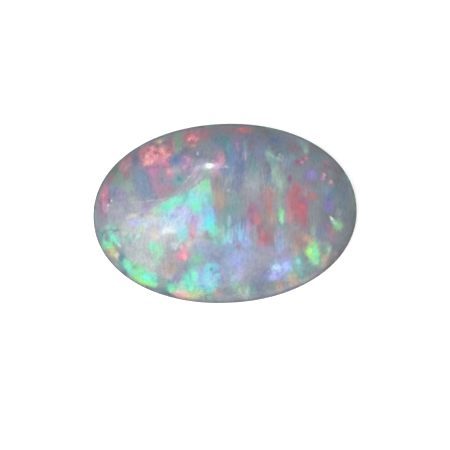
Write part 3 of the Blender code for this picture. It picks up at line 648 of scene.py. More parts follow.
        ("pearl", 1.17, 3.25, 0.04, 0.2, 5, 0.6), ("teal", 1.17, 3.85, 0.15, 0.25, 0, 0.5),
        ("sage", 2.5, 3.38, 0.13, 0.09, -30, 0.9), ("sea", 2.72, 3.25, 0.07, 0.07, 0, 0.7),
        ("sage", 2.98, 3.13, 0.13, 0.08, -25, 0.9), ("mist", 3.17, 3.0, 0.08, 0.08, 0, 0.7),
        ("lilac", 3.35, 2.7, 0.15, 0.15, 0, 0.5), ("ink", 2.35, 4.64, 0.35, 0.1, -8, 0.4),
    )),
    "top right flashes": Field("clouds", 0.93, 0.35, (
        ("sage", 4.62, 3.55, 0.1, 0.14, -10, 0.5), ("rose", 4.62, 3.12, 0.1, 0.09, 0, 0.8),
        ("plum", 4.45, 3.08, 0.08, 0.09, 0, 0.8), ("magenta", 4.38, 2.93, 0.09, 0.08, 0, 0.75),
        ("plum", 4.15, 2.95, 0.1, 0.1, 0, 0.6), ("teal", 3.85, 3.25, 0.16, 0.14, 0, 0.5),
        ("mauve", 5.75, 2.9, 0.2, 0.1, -35, 0.5), ("violet", 4.95, 2.18, 0.2, 0.2, -10, 0.9),
        ("violet", 4.92, 2.14, 0.26, 0.26, 0, 0.5), ("blush", 5.6, 2.1, 0.07, 0.13, 5, 0.75),
        ("magenta", 5.5, 1.9, 0.1, 0.11, 0, 0.7), ("blush", 6.0, 1.8, 0.07, 0.09, -20, 0.65),
        ("heather", 3.7, 1.97, 0.15, 0.25, 0, 0.8), ("plum", 3.7, 1.97, 0.15, 0.18, 0, 0.4),
    )),
    "left flashes": Field("clouds", 0.93, 0.35, (
        ("magenta", -6.8, 0.68, 0.1, 0.1, 0, 0.8), ("lavender", -6.5, 0.7, 0.07, 0.06, 0, 0.6),
        ("blush", -6.66, 0.48, 0.08, 0.07), ("magenta", -6.84, 1.3, 0.14, 0.25, 0, 0.6),
    )),
    "left veil flashes": Field("clouds", 0.93, 0.35, (
        ("lilac", -6.0, 1.1, 0.22, 0.2, 0, 0.5), ("fog", -5.2, 0.72, 0.3, 0.22, 0, 0.5),
        ("mist", -4.95, 0.3, 0.3, 0.18, 0, 0.5), ("orchid", -4.5, 0.2, 0.28, 0.16, 15, 0.55),
        ("ice", -4.4, -0.62, 0.24, 0.16, 0, 0.7), ("white", -4.58, -0.66, 0.2, 0.08, -5, 0.6),
        ("white", -5.12, -1.58, 0.04, 0.16, -35, 0.5), ("white", -3.84, -1.4, 0.09, 0.08, 0, 0.6),
        ("ice", -4.89, -0.7, 0.16, 0.1, 0, 0.7), ("cream", -5.68, -1.15, 0.14, 0.12, 0, 0.6),
        ("hyacinth", -5.12, -0.5, 0.16, 0.14, 0, 0.5), ("cream", -4.62, -0.86, 0.22, 0.13, 25, 0.6),
        ("peach", -3.95, -1.22, 0.15, 0.26, 0, 0.25), ("aqua", -4.95, -1.3, 0.16, 0.07, 40, 0.5),
    )),
    "left rim flashes": Field("scales", 0.93, 0.35, (
        ("aqua", -6.27, -0.83, 0.11, 0.09, 20, 0.7), ("deep teal", -6.92, -1.08, 0.22, 0.16, 15, 0.5),
        ("mint", -6.42, -1.38, 0.15, 0.24, 15, 0.95), ("mint", -6.2, -1.62, 0.12, 0.25, 38, 0.9),
        ("white", -6.03, -1.8, 0.06, 0.1, 30, 0.7), ("sea", -6.84, -1.28, 0.07, 0.16, -20, 0.6),
        ("spring", -6.65, -1.84, 0.26, 0.18, -5, 0.95), ("mint", -6.88, -1.64, 0.07, 0.12, 25, 0.7),
        ("cream", -6.14, -2.32, 0.1, 0.16, 0, 0.6), ("sea", -5.75, -2.8, 0.14, 0.14, 20, 0.7),
        ("spring", -5.52, -2.9, 0.12, 0.24, 35), ("mint", -5.36, -3.14, 0.1, 0.2, 25, 0.95),
        ("leaf", -5.15, -3.05, 0.22, 0.08, 45, 0.6), ("spring", -4.88, -3.42, 0.32, 0.26, -15, 0.95),
        ("spring", -4.72, -3.74, 0.26, 0.14, -25, 0.9), ("emerald", -4.45, -3.72, 0.34, 0.2, -30, 0.9),
        ("cyan", -4.4, -3.64, 0.24, 0.13, -20, 0.45), ("mint", -4.0, -3.6, 0.12, 0.22, 0, 0.75),
        ("lime", -5.02, -3.74, 0.28, 0.09, -32, 0.7),
    )),
    "centre left flashes": Field("clouds", 0.93, 0.35, (
        ("magenta", -4.2, 2.38, 0.13, 0.22, 12, 0.7), ("blush", -3.2, 2.38, 0.12, 0.16, 0, 0.7),
        ("rose", -3.2, 2.15, 0.13, 0.12, 0, 0.7), ("lilac", -3.6, 2.12, 0.15, 0.16, 0, 0.6),
        ("rose", -3.1, 1.4, 0.18, 0.2, 0, 0.5), ("fog", -2.62, 2.4, 0.07, 0.18, 0, 0.6),
        ("pearl", -2.07, 2.05, 0.08, 0.07, 20, 0.6), ("lavender", -1.65, 2.5, 0.16, 0.13, 20, 0.5),
        ("lilac", -0.25, 2.35, 0.14, 0.18, 0, 0.5), ("deep teal", -2.58, 1.93, 0.17, 0.17, 0, 0.6),
    )),
    "wedge washes": Field("wedge", 0.96, 0.7, (
        ("pale green", -3.95, 0.12, 0.22, 0.22, 20, 0.8), ("mint", -3.35, 0.38, 0.4, 0.3, 25),
        ("mint", -2.75, 0.75, 0.5, 0.4, 27), ("sea", -2.3, 0.95, 0.4, 0.42, 25),
        ("aqua", -1.85, 0.95, 0.36, 0.5), ("apple", -1.4, 1.4, 0.38, 0.4, 20),
        ("apple", -1.14, 1.6, 0.3, 0.38), ("apple", -0.9, 1.2, 0.14, 0.45, 0, 0.7),
        ("aqua", -1.25, 0.8, 0.4, 0.42), ("mint", -1.7, 0.5, 0.32, 0.42), ("mint", -1.5, 0.22, 0.26, 0.3),
        ("sage", -0.76, 1.4, 0.12, 0.3, 0, 0.7), ("sea", -0.78, 0.7, 0.16, 0.4),
        ("sky", -1.15, 0.2, 0.26, 0.28, 0, 0.7), ("aqua", -2.22, 0.55, 0.34, 0.28, 0, 0.8),
        ("ice", -3.05, 0.08, 0.25, 0.16), ("lavender", -2.4, 0.15, 0.26, 0.22),
        ("sky", -0.82, 0.05, 0.18, 0.26),
    )),
    "wedge flashes": Field("wedge", 0.93, 0.35, (
        ("apple", -0.76, 1.3, 0.1, 0.28, 0, 0.5), ("sage", -1.0, 2.12, 0.26, 0.18, 0, 0.95),
        ("sea", -1.0, 1.0, 0.16, 0.16, 0, 0.5), ("sea", -2.05, 1.2, 0.22, 0.1, 28, 0.5),
        ("sea", -1.25, 0.48, 0.1, 0.18, 0, 0.5), ("mint", -2.6, 0.78, 0.3, 0.14, 25, 0.9),
        ("jade", -3.32, 0.26, 0.24, 0.14, 10, 0.8), ("lavender", -2.38, 0.25, 0.2, 0.18, 0, 0.75),
        ("sky", -1.05, 0.12, 0.16, 0.14, 0, 0.5), ("haze", -2.62, 0.3, 0.14, 0.12, 0, 0.7),
        ("cyan", -1.82, 0.8, 0.12, 0.24, 10, 0.5), ("emerald", -1.68, 0.42, 0.16, 0.26, 15, 0.6),
        ("emerald", -3.25, 0.38, 0.24, 0.12, 20, 0.6), ("teal", -2.3, 0.85, 0.1, 0.3, -30, 0.4),
        ("spring", -1.17, 1.52, 0.24, 0.26, 0, 0.5),
    )),
    "white heart flashes": Field("clouds", 0.93, 0.35, (
        ("sea", -3.35, -0.08, 0.2, 0.12, 0, 0.5), ("pearl", -2.92, -1.02, 0.18, 0.1, 0, 0.6),
        ("lavender", -2.0, -0.25, 0.12, 0.2, 0, 0.5), ("ice", -1.5, -0.8, 0.09, 0.3, 8, 0.5),
        ("aqua", -1.35, -0.98, 0.12, 0.2, 0, 0.6), ("cloud", -1.34, -1.14, 0.13, 0.15, 10, 0.8),
        ("white", -2.7, -1.78, 0.05, 0.2, -40, 0.5), ("white", -2.84, -2.0, 0.05, 0.12, -15, 0.7),
        ("cream", -2.5, -1.9, 0.13, 0.14, 0, 0.6), ("candy", -2.3, -2.45, 0.14, 0.18, 0, 0.9),
        ("rose", -2.68, -2.42, 0.1, 0.14, 0, 0.4), ("sky", -1.58, -0.02, 0.14, 0.14, 0, 0.7),
        ("ice", -2.56, -0.85, 0.12, 0.16, 0, 0.7), ("white", -2.9, -1.78, 0.14, 0.06, -10, 0.5),
        ("pearl", -1.56, 1.84, 0.32, 0.1, 45, 0.8), ("white", -2.9, -1.04, 0.16, 0.08, 0, 0.6),
        ("white", -3.18, -0.95, 0.38, 0.17, 12, 0.8), ("hyacinth", -2.15, -0.15, 0.2, 0.2, 0, 0.5),
    )),
    "centre flashes": Field("streaks", 0.93, 0.35, (
        ("slate", 0.75, 2.1, 0.17, 0.55, 4), ("fog", 0.18, 1.28, 0.08, 0.1, 20, 0.6),
        ("fog", 3.16, 1.68, 0.08, 0.14, 0, 0.6), ("fog", 2.7, 2.28, 0.05, 0.16, 0, 0.5),
        ("leaf", 3.0, 2.32, 0.1, 0.2, -5, 0.6), ("green", 3.2, -0.12, 0.19, 0.4, 0, 0.98),
        ("apple", 3.24, -0.3, 0.15, 0.28, 0, 0.9), ("sage", 3.42, -0.25, 0.08, 0.24, 0, 0.8),
        ("tan", 2.88, 0.95, 0.14, 0.3, 0, 0.7), ("rose", 3.64, 0.56, 0.1, 0.3, 0, 0.7),
        ("tan", 2.57, 1.4, 0.12, 0.2, 0, 0.7), ("mist", 0.18, 0.67, 0.12, 0.2, 0, 0.7),
        ("sage", -0.62, 0.9, 0.1, 0.3, 0, 0.9),
    )),
    "coral field flashes": Field("streaks", 0.93, 0.35, (
        ("coral", 4.38, 0.35, 0.11, 0.13, 0, 0.5), ("rose", 4.9, 1.02, 0.22, 0.1, 10, 0.7),
        ("tan", 4.6, 1.15, 0.1, 0.2, 0, 0.6), ("rose", 3.48, 0.8, 0.08, 0.25, 0, 0.5),
        ("mist", 4.1, -0.82, 0.12, 0.1, 0, 0.5), ("rose", 1.86, -0.4, 0.16, 0.22, 0, 0.5),
        ("red", 2.2, -1.4, 0.24, 0.24, 0, 0.4), ("red", 4.95, 0.98, 0.26, 0.17, 0, 0.5),
        ("rose", 2.5, 0.9, 0.22, 0.5, 0, 0.4), ("coral", 2.6, 0.2, 0.14, 0.3, 0, 0.35),
    )),
    "right flashes": Field("clouds", 0.93, 0.35, (
        ("sage", 6.12, -0.4, 0.12, 0.2, 35, 0.9), ("pale green", 6.26, -0.56, 0.1, 0.12, 35, 0.7),
        ("white", 6.07, -0.26, 0.045, 0.14, 38, 0.9), ("moss", 5.97, -0.36, 0.05, 0.1, 30, 0.8),
        ("mauve", 5.86, -0.75, 0.11, 0.2, 20, 0.8), ("green", 6.56, -0.72, 0.12, 0.2, 0, 0.6),
        ("lime", 5.2, -2.1, 0.14, 0.4, 8, 0.5), ("teal", 4.38, -2.72, 0.15, 0.4, 5, 0.8),
        ("olive", 4.4, -2.24, 0.12, 0.16, 0, 0.5),
    )),
    "lower middle flashes": Field("streaks", 0.93, 0.35, (
        ("cyan", -0.9, -0.42, 0.18, 0.32, 0, 0.8), ("sky", -1.06, -0.3, 0.1, 0.16, 0, 0.6),
        ("mint", -0.7, -0.85, 0.16, 0.26, 30, 0.95), ("apple", -0.56, -1.2, 0.13, 0.09, 0, 0.8),
        ("aqua", -1.24, -0.82, 0.12, 0.16, 0, 0.5), ("fog", 0.24, -0.38, 0.07, 0.15, 0, 0.6),
        ("aqua", 0.21, -0.85, 0.05, 0.35, -3, 0.5), ("aqua", 0.02, -1.52, 0.07, 0.16, 10, 0.9),
        ("ice", 0.34, -1.62, 0.07, 0.11, 0, 0.8), ("sky", 0.88, -1.34, 0.08, 0.24, 15, 0.9),
        ("sky", 1.04, -1.02, 0.06, 0.26, 0, 0.5), ("lilac", 0.9, -0.52, 0.05, 0.12, 0, 0.5),
        ("sky", 1.2, -1.4, 0.08, 0.1, 20, 0.9), ("periwinkle", 1.4, -1.65, 0.07, 0.15, 5, 0.8),
        ("coral", 1.8, -0.42, 0.11, 0.17, 0, 0.55), ("violet", 0.52, -1.66, 0.14, 0.1, 0, 0.5),
        ("mauve", 0.78, -1.82, 0.14, 0.18, 0, 0.5), ("rose", 2.14, -1.15, 0.12, 0.2, 0, 0.7),
        ("cyan", -1.02, -0.5, 0.18, 0.2, 0, 0.5), ("jade", -0.62, -0.88, 0.14, 0.2, 30, 0.5),
        ("mauve", 0.7, -1.92, 0.16, 0.13, 0, 0.6),
    )),
    "lower right flashes": Field("streaks", 0.93, 0.35, (
        ("tan", 4.42, -1.3, 0.22, 0.22, 0, 0.5), ("orange", 4.9, -1.6, 0.12, 0.08, 0, 0.45),
        ("lime", 4.8, -2.18, 0.18, 0.2, -15, 0.95), ("gold", 4.88, -1.8, 0.16, 0.1, 0, 0.5),
        ("green", 4.9, -2.64, 0.12, 0.12, 0, 0.6), ("tan", 4.54, -2.02, 0.12, 0.14, 0, 0.6),
        ("spring", 5.16, -2.35, 0.14, 0.46, 8, 0.95), ("lime", 4.95, -2.45, 0.12, 0.14, -30, 0.5),
        ("leaf", 5.22, -3.0, 0.14, 0.12, 0, 0.7), ("pale green", 5.93, -2.05, 0.06, 0.16, -15, 0.6),
        ("clay", 5.82, -2.82, 0.09, 0.12, 10, 0.6), ("sand", 5.82, -2.42, 0.1, 0.09, 0, 0.5),
        ("sea", 4.18, -2.82, 0.13, 0.26, 5, 0.9), ("aqua", 4.18, -2.7, 0.09, 0.12, 0, 0.7),
        ("sea", 4.36, -3.48, 0.08, 0.16, 5, 0.6), ("deep teal", 4.42, -3.68, 0.07, 0.12, 0, 0.5),
        ("ice", 2.96, -3.05, 0.2, 0.18, 0, 0.6), ("ice", 3.06, -3.15, 0.12, 0.13, 0, 0.9),
        ("lavender", 2.78, -3.36, 0.1, 0.1, 0, 0.6), ("ice", 2.6, -3.65, 0.09, 0.1, 0, 0.5),
        ("lavender", 2.82, -3.73, 0.12, 0.08, 10, 0.6), ("violet", 3.02, -3.5, 0.09, 0.1, 0, 0.6),
        ("orchid", 3.06, -3.7, 0.08, 0.07, 0, 0.5), ("ice", 3.45, -2.98, 0.11, 0.2, 0, 0.5),
        ("sky", 3.66, -3.05, 0.08, 0.28, 0, 0.6), ("aqua", 3.78, -3.15, 0.06, 0.2, 0, 0.5),
        ("slate", 3.18, -2.9, 0.08, 0.14, 0, 0.5), ("sand", 3.9, -3.85, 0.2, 0.2, 0, 0.7),
        ("haze", 3.5, -3.72, 0.14, 0.12, 0, 0.8), ("sea", 3.9, -3.2, 0.1, 0.14, 0, 0.5),
        ("periwinkle", 3.05, -2.06, 0.14, 0.25, 0, 0.5),
    )),
    "lower edge flashes": Field("clouds", 0.93, 0.35, (
        ("mist", -3.45, -3.1, 0.06, 0.35, 5, 0.7), ("mint", -3.1, -4.4, 0.09, 0.09, 0, 0.8),
        ("peach", -2.26, -4.66, 0.3, 0.11, -8, 0.8), ("cream", -2.5, -4.55, 0.26, 0.08, -12, 0.7),
        ("jade", -2.08, -3.98, 0.16, 0.36, 0, 0.9), ("mint", -1.95, -4.25, 0.18, 0.26, 0, 0.8),
        ("deep teal", -2.0, -3.6, 0.04, 0.16, 0, 0.5), ("mint", -1.7, -3.6, 0.16, 0.24, 0, 0.9),
        ("pale green", -1.25, -4.6, 0.12, 0.12, 35, 0.9), ("lemon", -2.05, -4.5, 0.2, 0.09, 0, 0.7),
        ("deep teal", -0.77, -3.2, 0.07, 0.07, 0, 0.7), ("sky", -0.45, -3.08, 0.2, 0.14, -15, 0.7),
        ("blue", -0.55, -3.38, 0.16, 0.1, 0, 0.4), ("cyan", -0.54, -3.14, 0.14, 0.1, 0, 0.3),
        ("slate", -0.28, -3.8, 0.22, 0.3, 0, 0.3), ("orchid", -0.16, -3.4, 0.11, 0.12, 0, 0.6),
        ("lagoon", -1.26, -4.1, 0.1, 0.14, 0, 0.4), ("aqua", -0.5, -3.62, 0.22, 0.18, 0, 0.5),
        ("mint", -1.3, -4.33, 0.13, 0.13, 0, 0.7), ("cyan", -0.9, -4.4, 0.12, 0.08, 0, 0.7),
        ("sea", -0.9, -4.87, 0.14, 0.07, 0, 0.95), ("moss", -1.1, -4.8, 0.06, 0.12, 20, 0.8),
        ("lemon", 0.87, -4.4, 0.05, 0.14, 10, 0.6), ("leaf", 1.15, -4.5, 0.1, 0.12, 0, 0.5),
        ("sea", -2.85, -4.1, 0.12, 0.14, 0, 0.9), ("teal", -3.35, -4.34, 0.14, 0.1, -15, 0.8),
        ("salmon", -2.66, -4.64, 0.3, 0.09, -12, 0.85), ("cream", -2.32, -4.46, 0.24, 0.08, -12, 0.7),
        ("spring", -3.04, -4.3, 0.24, 0.15, 15, 0.9), ("pale green", -1.42, -4.5, 0.2, 0.1, -25, 0.7),
        ("sea", -0.9, -4.36, 0.16, 0.14, 0, 0.8), ("periwinkle", 0.62, -2.65, 0.36, 0.36, 0, 0.5),
        ("green", -1.6, -2.6, 0.24, 0.24, 0, 0.35), ("pale green", 1.26, -4.42, 0.12, 0.2, -15, 0.6),
        ("green", 0.62, -4.1, 0.18, 0.16, 0, 0.4),
    )),
    "sparks": Field("sparks", 0.7, 0.6, (
        ("candy", -4.3, 3.35, 0.5, 0.5, 0, 0.8), ("peach", -4.25, 2.95, 0.36, 0.28, 0, 0.9),
        ("peach", -3.55, 3.35, 0.4, 0.4, 0, 0.8), ("peach", -3.72, 4.02, 0.25, 0.16, 15, 0.8),
        ("salmon", -1.9, 4.3, 0.42, 0.3, 0, 0.8), ("salmon", 0.95, 4.68, 0.5, 0.14),
        ("blush", -0.4, 3.05, 0.35, 0.4, 0, 0.6), ("blush", -2.2, 2.9, 0.25, 0.35, 0, 0.7),
        ("candy", -6.85, 0.9, 0.16, 0.5, 0, 0.7), ("lavender", -1.3, 2.65, 0.7, 0.2, 15, 0.6),
        ("blush", -3.2, 2.35, 0.2, 0.25, 0, 0.6), ("salmon", -5.65, 2.85, 0.2, 0.3, 0, 0.5),
        ("white", -3.3, -0.5, 0.6, 0.6, 0, 0.5), ("white", -2.5, 0.0, 0.6, 0.4, 0, 0.5),
        ("white", -5.0, -0.4, 0.6, 0.35, 0, 0.4), ("ice", -0.8, -3.6, 0.5, 0.6, 0, 0.5),
        ("white", 3.0, -3.25, 0.5, 0.4, 0, 0.5), ("pale green", -2.0, -4.1, 0.5, 0.45, 0, 0.5),
        ("lemon", -1.3, -4.55, 0.4, 0.25), ("pale green", 1.0, -4.4, 0.5, 0.3, 0, 0.6),
        ("pale green", 2.9, 3.2, 0.5, 0.35, -25, 0.5), ("mauve", 4.4, 3.0, 0.35, 0.25, 30, 0.6),
        ("blush", 5.7, 2.1, 0.3, 0.3, 0, 0.4), ("candy", -2.35, -2.4, 0.3, 0.3, 0, 0.6),
        ("white", -6.4, -1.5, 0.5, 0.6, 30, 0.4), ("pale green", -5.0, -3.4, 0.6, 0.3, -25, 0.5),
    )),
    "cracks": Field("cracks", 0.6, 0.6, (
        ("red", -4.35, 3.4, 0.6, 0.4, 0, 0.45), ("rose", -3.6, 3.5, 0.45, 0.4, 0, 0.45),
        ("crimson", -1.9, 4.3, 0.45, 0.35), ("plum", -0.4, 3.2, 0.35, 0.4, 0, 0.4),
        ("plum", -6.85, 0.9, 0.16, 0.5, 0, 0.5), ("teal", -6.5, -1.2, 0.5, 0.6, 0, 0.5),
        ("leaf", -1.6, -4.45, 0.8, 0.3, -8, 0.5), ("pine", -0.9, -4.6, 0.3, 0.2, 0, 0.6),
        ("teal", -0.7, -3.3, 0.5, 0.35, 0, 0.4), ("olive", -6.3, -2.2, 0.3, 0.5, 30, 0.4),
        ("moss", 1.0, -4.4, 0.5, 0.3, 0, 0.4),
    )),
    "strokes": Field("strokes", 0.55, 0.7, (
        ("white", -3.15, -0.6, 0.65, 0.4, 0, 0.55), ("white", -5.1, -1.35, 0.35, 0.3, 0, 0.5),
        ("ice", -2.4, -0.4, 0.6, 0.6, 0, 0.6), ("cloud", -4.4, -0.6, 0.6, 0.5, 0, 0.6),
        ("cloud", -4.6, -2.2, 0.8, 0.8, 0, 0.5), ("ice", -2.9, -1.85, 0.25, 0.25, 0, 0.7),
        ("ice", -2.0, 0.9, 0.7, 0.5, 20, 0.5), ("pearl", -1.7, 2.3, 0.5, 0.4, 0, 0.5),
        ("pearl", -1.4, -1.5, 0.4, 0.5, 0, 0.5),
    )),
    "threads": Field("threads", 0.5, 0.7, (
        ("ice", 0.2, -1.1, 0.35, 0.6), ("sky", 0.95, -1.1, 0.35, 0.6, 0, 0.6),
        ("fog", 2.0, 1.8, 0.9, 0.8, 0, 0.35), ("fog", 0.2, 1.6, 0.6, 0.8, 0, 0.3),
        ("pearl", 3.2, -1.6, 0.5, 0.7, 0, 0.4), ("lilac", 1.0, 3.3, 0.5, 0.8, 0, 0.4),
        ("sage", 3.0, 1.9, 0.4, 0.7, 0, 0.6),
    )),
    # Painted reflections: the pearl lines at (-4.45, 0.68), (-3.75, 0.8) and (-2.1, 1.98) are the bright edge of the
    # veil, and the lavender at (-0.25, 2.62) and pearl at (0.05, 2.66) a streak through the glint. The small white
    # and fog dots are pale specks of the stone.
    "painted veil edge, glint streak and specks": Field("clouds", 0.5, 0.8, (
        ("pearl", -4.45, 0.68, 0.5, 0.035, 7), ("pearl", -3.75, 0.8, 0.45, 0.03, 12),
        ("pearl", -2.1, 1.98, 0.55, 0.04, 48), ("lavender", -0.25, 2.62, 0.4, 0.05, 4),
        ("white", 0.22, 1.3, 0.04, 0.04), ("white", -6.52, 0.7, 0.04, 0.05, 0, 0.9),
        ("fog", -1.53, 3.43, 0.05, 0.05, 0, 0.6), ("white", -6.66, 0.48, 0.05, 0.04, 0, 0.8),
        ("pearl", 0.05, 2.66, 0.1, 0.1, 0, 0.6),
    )),
}


def dome_height(x, y):
    """How high the crown stands over this point of the picture, all in mm."""
    stone_x = x * math.cos(VIEW_TURN) + y * math.sin(VIEW_TURN)
    stone_y = y * math.cos(VIEW_TURN) - x * math.sin(VIEW_TURN)
    across = abs(2 * stone_x * MM / LENGTH) ** OVAL_POWER
    along = abs(2 * stone_y * MM / WIDTH) ** OVAL_POWER
    out_by = (across + along) ** (DOME_POWER / OVAL_POWER)
    rise = max(1 - out_by, 0.0) ** (1 / DOME_POWER)
    return (GIRDLE_HEIGHT + (HEIGHT - GIRDLE_HEIGHT) * rise) / MM


def dome_slope(x, y):
    """How steeply the crown rises to the right and up the picture at this point."""
    away = 0.05  # mm
    right = (dome_height(x + away, y) - dome_height(x - away, y)) / (2 * away)
    up = (dome_height(x, y + away) - dome_height(x, y - away)) / (2 * away)
    return right, up


def veil(x, y):
    """The light that the veil adds over this point of the picture."""
    edges = zip(VEIL_TOP, VEIL_TOP[1:])
    (left, start), (right, end) = next(edge for edge in edges if x < edge[1][0])
    below_top = start + (end - start) * (x - left) / (right - left) - y
    side, lean = VEIL_SIDE
    above_foot = VEIL_FOOT * (1 - math.hypot(*dome_slope(x, y)))
    inside = min(below_top, side + lean * y - x, above_foot)
    edge, deep = VEIL_LIGHT
    level = edge + (deep - edge) * min(max(inside / VEIL_DEEP, 0.0), 1.0)
    return level * min(max(0.5 + inside / VEIL_BLUR, 0.0), 1.0)


def screen_light(level):
    """How much light a picture's level from 0 to 255 stands for."""
    return ((level / 255 + 0.055) / 1.055) ** 2.4


def pigment(name, place=PLAIN_PLACE):
    """The stone's own colour that looks like this one in the studio, at this point of the picture."""
    seen = [screen_light(level) for level in PALETTE[name]]
    x, y = place
    middle, right, up = STUDIO_GAIN
    gain = middle + right * x + up * y - EDGE_LOSS * y * y
    return tuple(max((level - veil(x, y)) / gain, LEAST_PIGMENT) for level in seen) + (1.0,)


def new_group(name, inputs):
    """A node group with these inputs, given as name and kind, and a colour as its output."""
    tree = bpy.data.node_groups.new(name, "ShaderNodeTree")
    for socket, kind in inputs:
        tree.interface.new_socket(socket, in_out="INPUT", socket_type="NodeSocket" + kind)
    tree.interface.new_socket("Colour", in_out="OUTPUT", socket_type="NodeSocketColor")
    board = Board(tree)
    return board, board.put("NodeGroupInput").outputs


def flash_group():
    """A node group that lays one flash, an ellipsoid of colour with a frayed edge, over what lies below."""
    board, given = new_group("flash", (
        ("Under", "Color"), ("Fire", "Color"), ("Point", "Vector"), ("Middle", "Vector"),
        ("Halves", "Vector"), ("Turn", "Vector"), ("Fray", "Float"), ("Light", "Float"),
        ("Outside", "Float"), ("Inside", "Float"), ("Share", "Float")))
    # A trace of the colour, too small to see, goes into the place. It makes the renderer work the flashes
    # out one after another, because all of them at once are more than its memory for one material holds.
    trace = 1e-6
    place = board.vector("MULTIPLY_ADD", given["Under"], (trace, trace, trace), given["Point"])
    axes = {"Location": given["Middle"], "Rotation": given["Turn"], "Scale": given["Halves"]}
    own = board.put("ShaderNodeMapping", {"Vector": place, **axes}, vector_type="TEXTURE").outputs[0]
    reach = board.sum("ADD", board.vector("LENGTH", own, out="Value"), given["Fray"])
    mask = board.ramp(reach, given["Outside"], given["Inside"], 0.0, given["Share"])
    share = board.sum("MULTIPLY", mask, given["Light"])
    board.put("NodeGroupOutput", {0: board.lay(share, given["Under"], given["Fire"])})
    return board.tree


def field_group(name, field, flash_tree):
    """A node group for one field of fire: its flashes one over another, in the order of the list."""
    board, given = new_group(name, (
        ("Under", "Color"), ("Point", "Vector"), ("Light", "Float"), ("Fray", "Float")))
    colour = given["Under"]
    for flash in field.flashes:
        fire, x, y, half_wide, half_high = flash[:5]
        turn = flash[5] if len(flash) > 5 else 0.0
        share = flash[6] if len(flash) > 6 else field.share
        depth = min(max(DEPTH_TO_SIZE * max(half_wide, half_high), LEAST_DEPTH), MOST_DEPTH)
        edge = min(max(field.edge, SOFTNESS / min(half_wide, half_high)), 1.0)
        inputs = {
            "Under": colour, "Fire": pigment(fire, (x, y)), "Point": given["Point"],
            "Middle": (x, y, dome_height(x, y)), "Halves": (half_wide, half_high, depth),
            "Turn": (0.0, 0.0, math.radians(turn)), "Fray": given["Fray"], "Light": given["Light"],
            "Outside": 1 + edge, "Inside": 1 - edge, "Share": share,
        }
        node = board.put("ShaderNodeGroup", node_tree=flash_tree)
        for socket, value in inputs.items():
            board.feed(node.inputs[socket], value)
        colour = node.outputs[0]
    board.put("NodeGroupOutput", {0: colour})
    return board.tree


def lay_fire(board, colour, point, plays):
    """Every field of fire over the body."""
    flash_tree = flash_group()
    for name, field in FIELDS.items():
        light, fray = plays[field.play]
        node = board.put("ShaderNodeGroup", node_tree=field_group(name, field, flash_tree))
        for socket, value in {"Under": colour, "Point": point, "Light": light, "Fray": fray}.items():
            board.feed(node.inputs[socket], value)
        colour = node.outputs[0]
    return colour


def beside(board, point, line):
    """How far a point lies to the right of a line, in mm, seen along the line's way up."""
    (x, y), slope = line
    angle = math.radians(slope)
    right = (math.sin(angle), -math.cos(angle), 0.0)
    start = x * right[0] + y * right[1]
    return board.sum("SUBTRACT", board.vector("DOT_PRODUCT", point, right, out="Value"), start)


def lay_pattern(board, place, pattern, out="Fac"):
    """A natural pattern over the stone, round 0.5."""
    stretched = board.vector("MULTIPLY", place, pattern.in_a_mm)
    inputs = {"Vector": stretched, "Scale": 1.0, "Detail": pattern.finer, "Roughness": pattern.strength}
    return board.put("ShaderNodeTexNoise", inputs).outputs[out]


def swing(board, value):
    """A pattern's value, as far as it lies above or below its middle."""
    return board.sum("SUBTRACT", value, 0.5)


def push(board, place, pattern, amounts, start):
    """The point start, pushed to and fro by a pattern."""
    colour = lay_pattern(board, place, pattern, out="Color")
    return board.vector("MULTIPLY_ADD", board.vector("SUBTRACT", colour, (0.5, 0.5, 0.5)), amounts, start)


def lay_cells(board, point, in_a_mm, feature="F1"):
    """Domains that lie side by side, and how far each point is from its domain's middle or edge."""
    inputs = {"Vector": board.vector("MULTIPLY", point, in_a_mm), "Scale": 1.0}
    return board.put("ShaderNodeTexVoronoi", inputs, feature=feature).outputs


def chances(board, cells):
    """Three random numbers, each the same all over one domain."""
    return board.put("ShaderNodeSeparateColor", {0: cells["Color"]}).outputs


def opal_plays(board, ragged, point):
    """For each play of the fire, its light and how it frays the edges of the flashes."""
    plays = {}
    for name, play in PLAYS.items():
        value = lay_pattern(board, point, play.pattern)
        light = board.ramp(value, *MOST_VALUES, play.low, play.high)
        plays[name] = (light, board.sum("MULTIPLY", swing(board, value), play.fray))
    grains = lay_cells(board, point, SPARK_CELLS)
    lit = board.ramp(chances(board, grains)[0], *SPARK_LIT)
    plays["sparks"] = (board.sum("MULTIPLY", board.ramp(grains["Distance"], *SPARK_EDGE), lit), 0.0)
    to_edge = lay_cells(board, point, CRACK_CELLS, "DISTANCE_TO_EDGE")["Distance"]
    broken = board.ramp(lay_pattern(board, point, CRACK_BREAKS), *CRACK_BREAK_EDGE)
    plays["cracks"] = (board.sum("MULTIPLY", board.ramp(to_edge, *CRACK_EDGE), broken), 0.0)
    turned = {"Vector": point, "Rotation": (0.0, 0.0, STROKE_SLANT)}
    slanted = board.put("ShaderNodeMapping", turned).outputs[0]
    for name, along in (("strokes", slanted), ("threads", point)):
        plays[name] = (board.ramp(lay_pattern(board, along, LINES), *LINE_EDGE), 0.0)
    below = board.sum("MAXIMUM", beside(board, ragged, WEDGE_UPPER), beside(board, ragged, WEDGE_TIP))
    left = board.sum("MULTIPLY", beside(board, ragged, WEDGE_RIGHT), -1.0)
    inside = board.ramp(board.sum("MINIMUM", below, left), *WEDGE_EDGE)
    light, fray = plays["streaks"]
    plays["wedge"] = (board.sum("MULTIPLY", inside, light), fray)
    return plays


def stone_grain(board, still):
    """The fine grain inside the stone, as a brightness round 1."""
    fibres = swing(board, lay_pattern(board, still, FIBRES))
    specks = swing(board, lay_pattern(board, still, SPECKS))
    growth = board.ramp(beside(board, still, GRAIN_LINE), *GRAIN_GROWTH)
    speckled = board.sum("MULTIPLY_ADD", board.sum("MULTIPLY", specks, growth), SPECK_CONTRAST, 1.0)
    return board.sum("MULTIPLY_ADD", fibres, FIBRE_CONTRAST, speckled)


